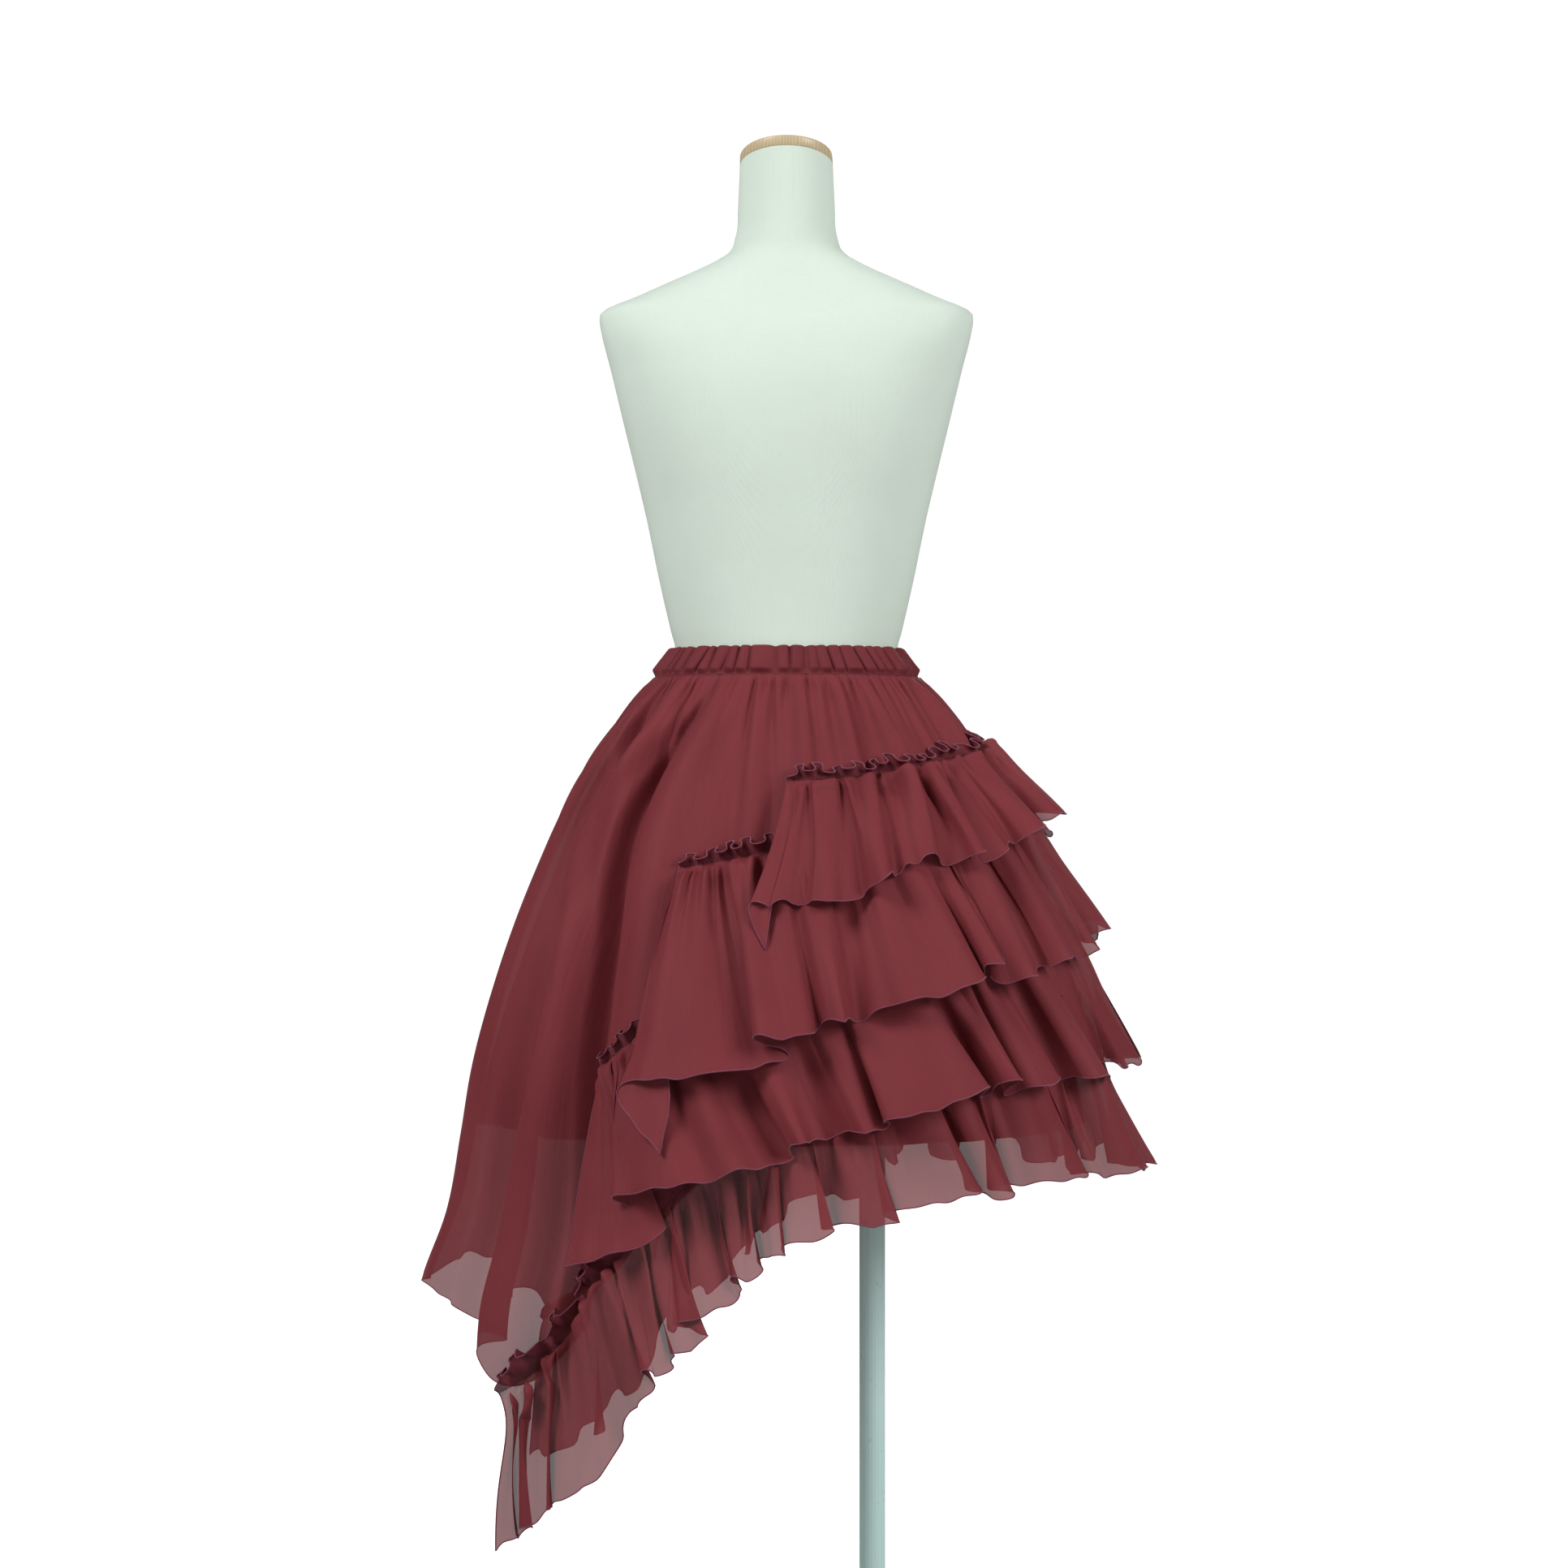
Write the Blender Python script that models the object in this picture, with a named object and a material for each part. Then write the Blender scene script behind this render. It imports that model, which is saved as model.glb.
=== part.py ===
# Tiered ruffle skirt worn on a dress form that stands on a pole and a round base.
#
# Metres, +Z up. The origin is the centre of the base's underside. The wearer's back faces -Y.
# A turn is an angle round the skirt in degrees: 0 at the middle of the back (-Y), 90 at the
# side where the tiers wrap round (+X), -90 at the long side (-X) and 180 at the middle of the front.
# "Out" is how far a point stands proud of the skirt's own section, along the section's normal.

import math

import bmesh
import bpy
import numpy as np
from mathutils import Vector
from mathutils.bvhtree import BVHTree


def columns(names, *rows):
    """A short table: one array for each named column."""
    return dict(zip(names.split(), np.array(rows, float).T))


# ---- Driving dimensions -------------------------------------------------------------------

CLOTH = 0.0012              # wall of the chiffon pieces
BAND_WALL = 0.0022          # elastic in its casing
SEAM_GAP = 0.0004           # clearance at the waist seam, the pole's bore and under the cap
LAP_GAP = 0.0007            # clearance of a stitched tier over the shell

SEAM_HEIGHT = 1.0770        # the gathered seam under the waistband
BAND_GATHERS = 40
BAND_GATHER_DEPTH = 0.0020
BAND_STEPS_PER_GATHER = 4
SIDE_GAP = 0.0004           # clearance of the side seams

# The skirt's section at each height: half widths to the long and the tiered side, and half depth.
SKIRT = columns(
    "height long_side tier_side depth",
    (1.077, 0.1425, 0.1440, 0.113),
    (1.047, 0.168, 0.170, 0.135),
    (1.012, 0.193, 0.196, 0.155),
    (0.951, 0.226, 0.234, 0.184),
    (0.881, 0.255, 0.262, 0.208),
    (0.812, 0.281, 0.287, 0.229),
    (0.733, 0.305, 0.309, 0.248),
    (0.664, 0.321, 0.325, 0.262),
    (0.594, 0.331, 0.337, 0.272),
    (0.507, 0.344, 0.350, 0.282),
    (0.435, 0.366, 0.356, 0.292),
    (0.330, 0.372, 0.360, 0.298),
    (0.150, 0.372, 0.360, 0.298),
)

# The shell's hem, from the long side to the tiered side. The hidden front mirrors it, and hangs lower
# by the drop at each mirrored turn; so does the tier that is stitched along the hem.
SHELL_HEM = columns(
    "turn height",
    (-90, 0.435), (-75, 0.423), (-64, 0.406), (-56, 0.370), (-50, 0.340), (-45.5, 0.349),
    (-41, 0.371), (-36, 0.413), (-31, 0.456), (-24.5, 0.507), (-14, 0.576), (-6, 0.621), (4, 0.664),
    (16, 0.692), (30, 0.708), (60, 0.714), (90, 0.710),
)
FRONT_DROP = columns(
    "turn drop",
    (-90, 0.0), (-80, -0.020), (-68, -0.022), (-60, 0.015), (-55, 0.020), (-48, 0.0), (-40, 0.015),
    (-34, 0.035), (-25, 0.040), (-14, 0.055), (-3, 0.045), (11, 0.040), (20, 0.018), (30, 0.015),
    (60, 0.010), (90, 0.0),
)
SHELL_COLUMNS = 96
SHELL_ROWS = (0.0, 0.045, 0.10, 0.18, 0.28, 0.40, 0.54, 0.69, 0.85, 1.0)

# Large folds of the plain panel: the turn of each at the waist, half way and at the hem, how far it
# rises there (a valley is negative) and its half width in degrees.
PANEL_FOLDS = columns(
    "top mid low rise_top rise_low spread",
    (-66, -77, -86, 0.004, 0.024, 9.0),
    (-60, -64, -65, -0.003, -0.024, 7.5),
    (-40, -45, -48, 0.006, 0.022, 8.0),
    (-28.7, -40, -36, -0.006, -0.028, 6.5),
    (-21, -25, -27, 0.005, 0.012, 9.0),
)
FOLD_TOP, FOLD_MID, FOLD_LOW = 1.06, 0.80, 0.44     # heights of the table's three turns
FOLD_START = 0.045          # below the seam, where the folds have their full rise
SOFT_FOLD_TURN = 16.0       # one soft fold under the tiers every so many degrees
SOFT_FOLD_RISE = 0.0035
FRONT_FOLD_SHIFT = 5.0      # the hidden front's folds lie a little further round
FRONT_FOLD_SCALE = 0.85

LINING_HEM = 0.6035
LINING_INSET = columns("height inset", (1.077, 0.0045), (1.047, 0.010), (0.951, 0.018), (0.5, 0.018))
LINING_COLUMNS = 60
LINING_ROWS = (0.0, 0.12, 0.30, 0.60, 1.0)
LINING_FOLLOWS = 0.7        # how much of the shell's folds the lining shares

HEADING = 0.012             # frill that stands above a tier's stitching
HEADING_OUT = 0.0045
HEADING_WAVE = 0.0028
HEADING_WAVE_STEPS = 6      # columns of a tier's grid that one wave of its heading takes
PUFF = 0.004                # how far a tier swells between its stitching and its hem
TIER_ROWS = (0.0, 0.45, 1.0)
HEM_STEP = 0.034            # longest step along a hem
STITCH_STEP = 5.0           # longest step along the stitching, in degrees
EDGE_OUT, FAR_EDGE_OUT = 0.78, 0.74     # a fold's two edges, as shares of its crest

# Each tier: the line it is stitched along, then one row for each fold of its hem. A fold starts at
# "gather" on the stitching; its crest panel hangs from "left" to "right", "out" proud of the skirt;
# then the cloth turns back at "tuck", under the next fold. The z columns are the hem's heights.
# "corner" is where the strip's free end hangs, as (turn, height, out), "side" is the hem at 90, and
# "along_hem" marks the tier that is stitched along the shell's hem.
TIERS = {
    1: {
        "stitching": columns("turn height", (0, 0.966), (16.5, 0.970), (37.7, 0.981), (61, 0.994), (90, 1.006)),
        "folds": columns(
            "gather left right tuck z_left z_right z_tuck out",
            (0.8, -7.2, 0.4, 2.5, 0.845, 0.849, 0.845, 0.046),
            (6.5, 4.0, 11.8, 15.0, 0.849, 0.850, 0.850, 0.044),
            (16.5, 15.8, 20.6, 22.6, 0.863, 0.875, 0.873, 0.048),
            (25.9, 24.0, 30.3, 33.8, 0.885, 0.892, 0.881, 0.046),
            (36.5, 37.0, 42.0, 41.2, 0.889, 0.896, 0.886, 0.058),
            (43.5, 43.2, 55.1, 56.9, 0.884, 0.906, 0.901, 0.046),
            (54.0, 58.0, 66.5, 70.0, 0.909, 0.921, 0.922, 0.052),
            (70.0, 74.0, 84.0, 87.0, 0.926, 0.934, 0.936, 0.056),
        ),
        "corner": (-4.0, 0.798, 0.040),
        "side": (0.938, 0.054),
        "tuck_out": 0.030,
        "front_folds": 6,
        "along_hem": False,
    },
    2: {
        "stitching": columns(
            "turn height",
            (-24.5, 0.878), (-10, 0.890), (3, 0.904), (12.4, 0.914), (32, 0.932), (56, 0.944), (90, 0.950),
        ),
        "folds": columns(
            "gather left right tuck z_left z_right z_tuck out",
            (-23.6, -27.5, -3.2, 0.4, 0.663, 0.691, 0.696, 0.054),
            (-10.1, -4.8, 4.1, 5.8, 0.715, 0.720, 0.725, 0.054),
            (2.0, 7.1, 11.3, 13.0, 0.732, 0.734, 0.730, 0.050),
            (12.4, 16.1, 35.0, 37.3, 0.744, 0.767, 0.768, 0.056),
            (31.0, 36.5, 41.0, 39.0, 0.783, 0.788, 0.770, 0.064),
            (38.5, 40.6, 49.3, 52.6, 0.763, 0.771, 0.777, 0.050),
            (48.0, 53.6, 61.0, 62.5, 0.779, 0.791, 0.786, 0.054),
            (60.0, 65.0, 75.0, 78.0, 0.786, 0.798, 0.800, 0.058),
            (74.0, 81.0, 86.5, 88.0, 0.806, 0.815, 0.817, 0.060),
        ),
        "corner": (-18.9, 0.602, 0.052),
        "side": (0.8186, 0.057),
        "tuck_out": 0.036,
        "front_folds": 8,
        "along_hem": False,
    },
    3: {
        "stitching": columns(
            "turn height",
            (-36.8, 0.668), (-33.3, 0.686), (-23, 0.725), (-12.5, 0.765), (-1.5, 0.788), (8, 0.802),
            (26.6, 0.822), (50, 0.832), (90, 0.838),
        ),
        "folds": columns(
            "gather left right tuck z_left z_right z_tuck out",
            (-36.6, -35.4, -21.3, -19.6, 0.484, 0.515, 0.528, 0.036),
            (-31.0, -27.1, -4.3, 1.1, 0.557, 0.590, 0.597, 0.054),
            (-13.0, 0.2, 4.0, 7.5, 0.610, 0.616, 0.616, 0.048),
            (-1.5, 9.4, 14.6, 16.8, 0.623, 0.625, 0.625, 0.044),
            (8.0, 15.4, 32.4, 35.8, 0.635, 0.660, 0.653, 0.054),
            (26.6, 36.8, 40.4, 39.2, 0.669, 0.670, 0.651, 0.062),
            (34.0, 41.5, 51.9, 53.0, 0.658, 0.668, 0.660, 0.050),
            (46.0, 56.0, 70.0, 74.0, 0.664, 0.668, 0.668, 0.056),
            (66.0, 77.0, 86.0, 88.0, 0.669, 0.671, 0.671, 0.060),
        ),
        "corner": None,
        "side": (0.6724, 0.060),
        "tuck_out": 0.028,
        "front_folds": 8,
        "along_hem": False,
    },
    4: {
        "stitching": columns(
            "turn height",
            (-48, 0.349), (-45, 0.358), (-41, 0.380), (-36, 0.422), (-31, 0.465), (-24.5, 0.516), (-14, 0.584),
            (-6, 0.629), (4, 0.672), (16, 0.700), (30, 0.716), (60, 0.722), (90, 0.718),
        ),
        "folds": columns(
            "gather left right tuck z_left z_right z_tuck out",
            (-47.9, -46.7, -36.5, -35.2, 0.195, 0.249, 0.253, 0.034),
            (-42.5, -34.5, -28.2, -26.6, 0.258, 0.284, 0.290, 0.042),
            (-37.9, -26.0, -24.1, -20.6, 0.302, 0.328, 0.367, 0.034),
            (-31.0, -20.6, -16.5, -12.1, 0.381, 0.392, 0.424, 0.044),
            (-24.5, -16.8, -6.4, -5.6, 0.437, 0.469, 0.472, 0.046),
            (-14.0, -8.3, -4.0, -0.2, 0.479, 0.485, 0.505, 0.042),
            (-6.0, -0.6, 7.4, 9.0, 0.514, 0.527, 0.529, 0.044),
            (4.0, 9.9, 17.0, 18.6, 0.533, 0.532, 0.537, 0.040),
            (16.0, 17.9, 30.1, 36.0, 0.548, 0.554, 0.558, 0.042),
            (30.5, 32.9, 37.7, 43.0, 0.556, 0.556, 0.560, 0.046),
            (42.0, 45.1, 57.0, 60.0, 0.567, 0.566, 0.566, 0.040),
            (60.0, 62.0, 80.0, 84.0, 0.565, 0.560, 0.560, 0.052),
        ),
        "corner": None,
        "side": (0.5567, 0.054),
        "tuck_out": 0.012,
        "front_folds": 10,
        "along_hem": True,
    },
}
FRONT_FOLD_WIDTHS = 0.56, 0.16      # mean share of its pitch that a front fold's panel takes, and its swing
FRONT_FOLD_LAP = 1.03, 0.93         # where odd and even front folds turn back, in pitches

SEAT_REACH = 0.15           # how far out the search for the shell's surface starts
SEAT_SAMPLES = 9            # places searched between a column's two neighbours
SEAT_MARGIN = 1.0           # and this many degrees beyond them
LEAST_FACING = 0.4          # a slope's clearance grows with the slope, up to this cosine
ON_SEAM = 1e-6

# The waistband's mid wall: half width and half depth at each height.
BAND = columns(
    "height width depth",
    (1.1070, 0.1210, 0.0915),
    (1.0940, 0.1330, 0.1035),
    (1.0774, 0.1414, 0.1122),
)

# The dress form: half width, depth towards the back and the front, and squareness of the section.
FORM = columns(
    "height width back front square",
    (0.862, 0.150, 0.098, 0.092, 2.0),
    (0.880, 0.160, 0.110, 0.099, 2.0),
    (0.915, 0.171, 0.125, 0.106, 2.0),
    (0.955, 0.176, 0.131, 0.111, 2.0),
    (0.995, 0.170, 0.122, 0.111, 2.0),
    (1.030, 0.157, 0.106, 0.106, 2.0),
    (1.060, 0.140, 0.095, 0.098, 2.0),
    (1.085, 0.1265, 0.0905, 0.0925, 2.0),
    (1.107, 0.1192, 0.0897, 0.0897, 2.0),
    (1.125, 0.1235, 0.0890, 0.0925, 2.0),
    (1.177, 0.1355, 0.0895, 0.1010, 2.05),
    (1.247, 0.150, 0.094, 0.116, 2.1),
    (1.300, 0.1625, 0.099, 0.121, 2.2),
    (1.351, 0.175, 0.101, 0.110, 2.3),
    (1.405, 0.188, 0.096, 0.092, 2.5),
    (1.445, 0.198, 0.084, 0.074, 2.8),
    (1.457, 0.200, 0.079, 0.068, 2.8),
    (1.466, 0.1985, 0.075, 0.064, 2.8),
    (1.483, 0.162, 0.069, 0.058, 2.5),
    (1.499, 0.127, 0.063, 0.054, 2.3),
    (1.516, 0.089, 0.057, 0.051, 2.1),
    (1.530, 0.064, 0.053, 0.050, 2.0),
    (1.550, 0.0545, 0.051, 0.050, 2.0),
    (1.580, 0.0520, 0.050, 0.050, 2.0),
)
FORM_SIDES = 32
NECK_TOP = 1.6245           # height of the slanted neck top at its middle
NECK_SLOPE = 0.27           # it rises this much for each metre towards the back
NECK_HALF = 0.0500
CAP_THICKNESS = 0.0115
CAP_HALF = 0.0500
CAP_ROUNDING = 0.0025
CAP_SIDES = 32

POLE_AT = 0.092             # the pole stands off centre, towards the tiered side
POLE_RADIUS = 0.0139
POLE_SIDES = 24
POLE_IN_FORM = 0.060        # length of pole inside its bore in the form
BASE_RADIUS = 0.180
BASE_THICKNESS = 0.008
BASE_SIDES = 48
BASE_BEVEL = 0.0015
COLLAR_RADIUS = 0.026
COLLAR_HEIGHT = 0.030

BURGUNDY = (0.240, 0.036, 0.046, 1.0)
FORM_WHITE = (0.78, 0.86, 0.80, 1.0)
WOOD = (0.71, 0.60, 0.41, 1.0)
STEEL = (0.55, 0.62, 0.61, 1.0)


# ---- Curves and sections ------------------------------------------------------------------

def smooth(x, xs, ys):
    """Cubic through the points (xs, ys), which rise in x, with Catmull-Rom slopes."""
    xs = np.asarray(xs, float)
    ys = np.asarray(ys, float)
    slopes = np.gradient(ys, xs)
    x = np.clip(x, xs[0], xs[-1])
    i = np.clip(np.searchsorted(xs, x) - 1, 0, len(xs) - 2)
    width = xs[i + 1] - xs[i]
    s = (x - xs[i]) / width
    start = (1 + 2 * s) * (1 - s) ** 2 * ys[i] + s * (1 - s) ** 2 * width * slopes[i]
    end = s * s * (3 - 2 * s) * ys[i + 1] + s * s * (s - 1) * width * slopes[i + 1]
    return start + end


def skirt_size(column, height):
    return smooth(height, SKIRT["height"][::-1], SKIRT[column][::-1])


def skirt_point(turn, height, out):
    """The point, or array of points, that stands out from the skirt's section."""
    angle = np.radians(turn)
    east = np.sin(angle)
    south = np.cos(angle)
    half_width = np.where(east < 0, skirt_size("long_side", height), skirt_size("tier_side", height))
    half_depth = skirt_size("depth", height)
    normal_x = east * half_depth
    normal_y = -south * half_width
    length = np.hypot(normal_x, normal_y)
    x = half_width * east + out * normal_x / length
    y = -half_depth * south + out * normal_y / length
    return np.stack(np.broadcast_arrays(x, y, height), axis=-1)


def back_turn(turn):
    """The same place on the back half, for a turn on the mirrored front half."""
    turn = (np.asarray(turn, float) + 90) % 360 - 90
    return np.where(turn > 90, 180 - turn, turn)


def front_drop(turn):
    """How much lower the hidden front's hem hangs than the back's, at a turn on the back half."""
    return smooth(turn, FRONT_DROP["turn"], FRONT_DROP["drop"])


def bump(x):
    """A soft ridge of height 1 between -1 and 1."""
    return np.where(np.abs(x) < 1, np.cos(np.pi * np.clip(x, -1, 1) / 2) ** 2, 0)


def fold_rise(turn, height):
    """How far the shell's folds stand out of its section."""
    turn = (np.asarray(turn, float) + 90) % 360 - 90
    in_front = turn > 90
    place = np.where(in_front, 180 - turn + FRONT_FOLD_SHIFT, turn)
    down = np.clip((FOLD_TOP - height) / (FOLD_TOP - FOLD_LOW), 0, 1)
    rise = np.zeros(np.broadcast(place, height).shape)
    for i in range(len(PANEL_FOLDS["top"])):
        marks = [PANEL_FOLDS[name][i] for name in ("low", "mid", "top")]
        centre = smooth(height, (FOLD_LOW, FOLD_MID, FOLD_TOP), marks)
        size = PANEL_FOLDS["rise_top"][i] * (1 - down) + PANEL_FOLDS["rise_low"][i] * down
        rise = rise + size * bump((place - centre) / PANEL_FOLDS["spread"][i])
    under_tiers = np.clip((place + 22) / 16, 0, 1)
    rise = rise + under_tiers * SOFT_FOLD_RISE * np.sin(2 * np.pi * place / SOFT_FOLD_TURN)
    from_seam = np.clip((SEAM_HEIGHT - height) / FOLD_START, 0, 1)
    return rise * from_seam * np.where(in_front, FRONT_FOLD_SCALE, 1)


def hem_path(points, kinks):
    """A smooth path through the points (centripetal Catmull-Rom), as sampled rows.

    A row of points holds the place in space and then further values, which are carried along; the
    last is the turn on the stitching. kinks[i] is the least number of steps from point i to the next.
    """
    points = np.asarray(points, float)
    ends = np.vstack([2 * points[0] - points[1], points, 2 * points[-1] - points[-2]])
    rows = []
    for i in range(len(points) - 1):
        p0, p1, p2, p3 = ends[i:i + 4]
        knots = [0.0]
        for a, b in ((p0, p1), (p1, p2), (p2, p3)):
            knots.append(knots[-1] + max(np.linalg.norm(b[:3] - a[:3]), 1e-6) ** 0.5)
        t0, t1, t2, t3 = knots
        along_hem = np.linalg.norm(p2[:3] - p1[:3]) / HEM_STEP
        along_stitching = (p2[-1] - p1[-1]) / STITCH_STEP
        steps = max(kinks[i], math.ceil(along_hem), math.ceil(along_stitching))
        for t in np.linspace(t1, t2, steps, endpoint=False):
            a1 = ((t1 - t) * p0 + (t - t0) * p1) / (t1 - t0)
            a2 = ((t2 - t) * p1 + (t - t1) * p2) / (t2 - t1)
            a3 = ((t3 - t) * p2 + (t - t2) * p3) / (t3 - t2)
            b1 = ((t2 - t) * a1 + (t - t0) * a2) / (t2 - t0)
            b2 = ((t3 - t) * a2 + (t - t1) * a3) / (t3 - t1)
            rows.append(((t2 - t) * b1 + (t - t1) * b2) / (t2 - t1))
    rows.append(points[-1])
    return np.array(rows)


# ---- Meshes -------------------------------------------------------------------------------

def material(name, colour, roughness, metallic=0.0):
    made = bpy.data.materials.new(name)
    made.use_nodes = True
    shader = made.node_tree.nodes["Principled BSDF"]
    shader.inputs["Base Color"].default_value = colour
    shader.inputs["Roughness"].default_value = roughness
    shader.inputs["Metallic"].default_value = metallic
    return made


def finish(name, mesh_data, colour, roughness, metallic=0.0, sharp_over=40.0):
    """Makes the object of a bmesh, with its faces pointing out, smooth shading and its own material."""
    if mesh_data.calc_volume(signed=True) < 0:
        bmesh.ops.reverse_faces(mesh_data, faces=mesh_data.faces)
    mesh = bpy.data.meshes.new(name)
    mesh_data.to_mesh(mesh)
    mesh_data.free()
    mesh.shade_smooth()
    mesh.set_sharp_from_angle(angle=math.radians(sharp_over))
    mesh.materials.append(material(name, colour, roughness, metallic))
    made = bpy.data.objects.new(name, mesh)
    bpy.context.scene.collection.objects.link(made)
    return made


def wall_normals(middle, looped):
    """Outward normals of a grid of points: rows run down the cloth, columns along it.

    At the side seams, where y is 0, they lie in the seam's plane.
    """
    if looped:
        along = np.roll(middle, -1, axis=1) - np.roll(middle, 1, axis=1)
    else:
        along = np.gradient(middle, axis=1)
    down = np.gradient(middle, axis=0)
    normals = np.cross(down, along)
    normals[np.abs(middle[:, :, 1]) < SIDE_GAP, 1] = 0
    return normals / np.linalg.norm(normals, axis=-1, keepdims=True)


def halves(middle, i, j, k):
    """A cell of the grid as two triangles, cut along its shorter diagonal, so that both skins match."""
    cell = ((i, j), (i + 1, j), (i + 1, k), (i, k))
    falling = np.linalg.norm(middle[i, j] - middle[i + 1, k])
    rising = np.linalg.norm(middle[i + 1, j] - middle[i, k])
    a, b, c, d = cell if falling <= rising else cell[1:] + cell[:1]
    return (a, b, c), (a, c, d)


def cloth(name, middle, thickness, looped=False, level_top=False):
    """A closed wall round the mid surface that the grid of points gives."""
    normals = wall_normals(middle, looped)
    if level_top:
        normals[0, :, 2] = 0
        normals[0] /= np.linalg.norm(normals[0], axis=-1, keepdims=True)
    rows, count = middle.shape[:2]
    mesh_data = bmesh.new()
    skins = []
    for side in (0.5, -0.5):
        places = middle + side * thickness * normals
        skins.append([[mesh_data.verts.new(place) for place in row] for row in places])
    outer, inner = skins
    spans = count if looped else count - 1
    for i in range(rows - 1):
        for j in range(spans):
            k = (j + 1) % count
            for corners in halves(middle, i, j, k):
                mesh_data.faces.new([outer[row][column] for row, column in corners])
                mesh_data.faces.new([inner[row][column] for row, column in reversed(corners)])
    for j in range(spans):
        k = (j + 1) % count
        mesh_data.faces.new((outer[0][j], outer[0][k], inner[0][k], inner[0][j]))
        mesh_data.faces.new((outer[-1][k], outer[-1][j], inner[-1][j], inner[-1][k]))
    if not looped:
        for i in range(rows - 1):
            mesh_data.faces.new((outer[i][0], inner[i][0], inner[i + 1][0], outer[i + 1][0]))
            mesh_data.faces.new((outer[i][-1], outer[i + 1][-1], inner[i + 1][-1], inner[i][-1]))
    return finish(name, mesh_data, BURGUNDY, 0.75)


def loft(rings):
    """A closed bmesh of rings of points, bottom to top, with flat ends."""
    mesh_data = bmesh.new()
    made = [[mesh_data.verts.new(point) for point in ring] for ring in rings]
    count = len(rings[0])
    for low, high in zip(made, made[1:]):
        for j in range(count):
            k = (j + 1) % count
            mesh_data.faces.new((low[j], low[k], high[k], high[j]))
    mesh_data.faces.new(made[0][::-1])
    mesh_data.faces.new(made[-1])
    return mesh_data


def turned(profile, sides, x=0.0):
    """Rings of a round piece from its profile of (radius, height)."""
    angles = np.arange(sides) * 2 * math.pi / sides
    return [
        [(x + radius * math.cos(a), radius * math.sin(a), height) for a in angles]
        for radius, height in profile
    ]


# ---- Skirt --------------------------------------------------------------------------------

def half_turns(count, front):
    """Even turns across one half of the skirt."""
    turns = np.linspace(-90, 90, count // 2 + 1)
    return turns + 180 if front else turns


def open_side_seams(grid, front):
    """Draws the edges that lie on the side seams' plane back from it."""
    on_seam = np.abs(grid[:, :, 1]) < ON_SEAM
    grid[on_seam, 1] = SIDE_GAP / 2 if front else -SIDE_GAP / 2
    return grid


def shell_grid(front):
    turns = half_turns(SHELL_COLUMNS, front)
    hem = smooth(back_turn(turns), SHELL_HEM["turn"], SHELL_HEM["height"])
    if front:
        hem = hem - front_drop(back_turn(turns))
    top = SEAM_HEIGHT - SEAM_GAP
    heights = np.array([top + share * (hem - top) for share in SHELL_ROWS])
    grid = skirt_point(turns[None, :], heights, fold_rise(turns[None, :], heights))
    return open_side_seams(grid, front)


def lining_grid(front):
    turns = half_turns(LINING_COLUMNS, front)
    top = SEAM_HEIGHT - SEAM_GAP
    heights = top + np.array(LINING_ROWS)[:, None] * (LINING_HEM - top) + 0 * turns[None, :]
    inset = smooth(heights, LINING_INSET["height"][::-1], LINING_INSET["inset"][::-1])
    grid = skirt_point(turns[None, :], heights, LINING_FOLLOWS * fold_rise(turns, heights) - inset)
    return open_side_seams(grid, front)


def band_grid():
    steps = BAND_GATHERS * BAND_STEPS_PER_GATHER
    angles = np.arange(steps) * 2 * math.pi / steps
    gather = BAND_GATHER_DEPTH * (0.5 + 0.5 * np.cos(BAND_GATHERS * angles))
    rows = []
    for height, width, depth in zip(BAND["height"], BAND["width"], BAND["depth"]):
        x = (width + gather) * np.sin(angles)
        y = -(depth + gather) * np.cos(angles)
        rows.append(np.stack([x, y, np.full(steps, height)], axis=-1))
    return np.array(rows)


def front_fold_rows(tier, number):
    """Folds of a tier's hidden half: even pitches with their own rhythm, on the back hem's line."""
    folds = tier["folds"]
    line_turn = np.concatenate([np.stack([folds["left"], folds["right"]], 1).ravel(), [90]])
    line_height = np.concatenate([np.stack([folds["z_left"], folds["z_right"]], 1).ravel(), [tier["side"][0]]])
    order = np.argsort(line_turn)
    count = tier["front_folds"]
    first = folds["left"][0]
    pitch = (88 - first) / count
    gather_first = folds["gather"][0]
    mean, swing = FRONT_FOLD_WIDTHS
    rows = []
    for i in range(count):
        left = first + pitch * i
        right = left + pitch * (mean + swing * math.sin(2.4 * i + number))
        tuck = left + pitch * FRONT_FOLD_LAP[i % 2] if i < count - 1 else left + pitch
        heights = np.interp((left, right, tuck), line_turn[order], line_height[order])
        if tier["along_hem"]:
            heights = heights - front_drop((left, right, tuck))
        gather = gather_first + (86 - gather_first) * i / count
        out = folds["out"].mean() * (1 + 0.08 * math.sin(1.7 * i + number))
        rows.append((gather, left, right, tuck, *heights, out))
    return columns("gather left right tuck z_left z_right z_tuck out", *rows)


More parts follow.
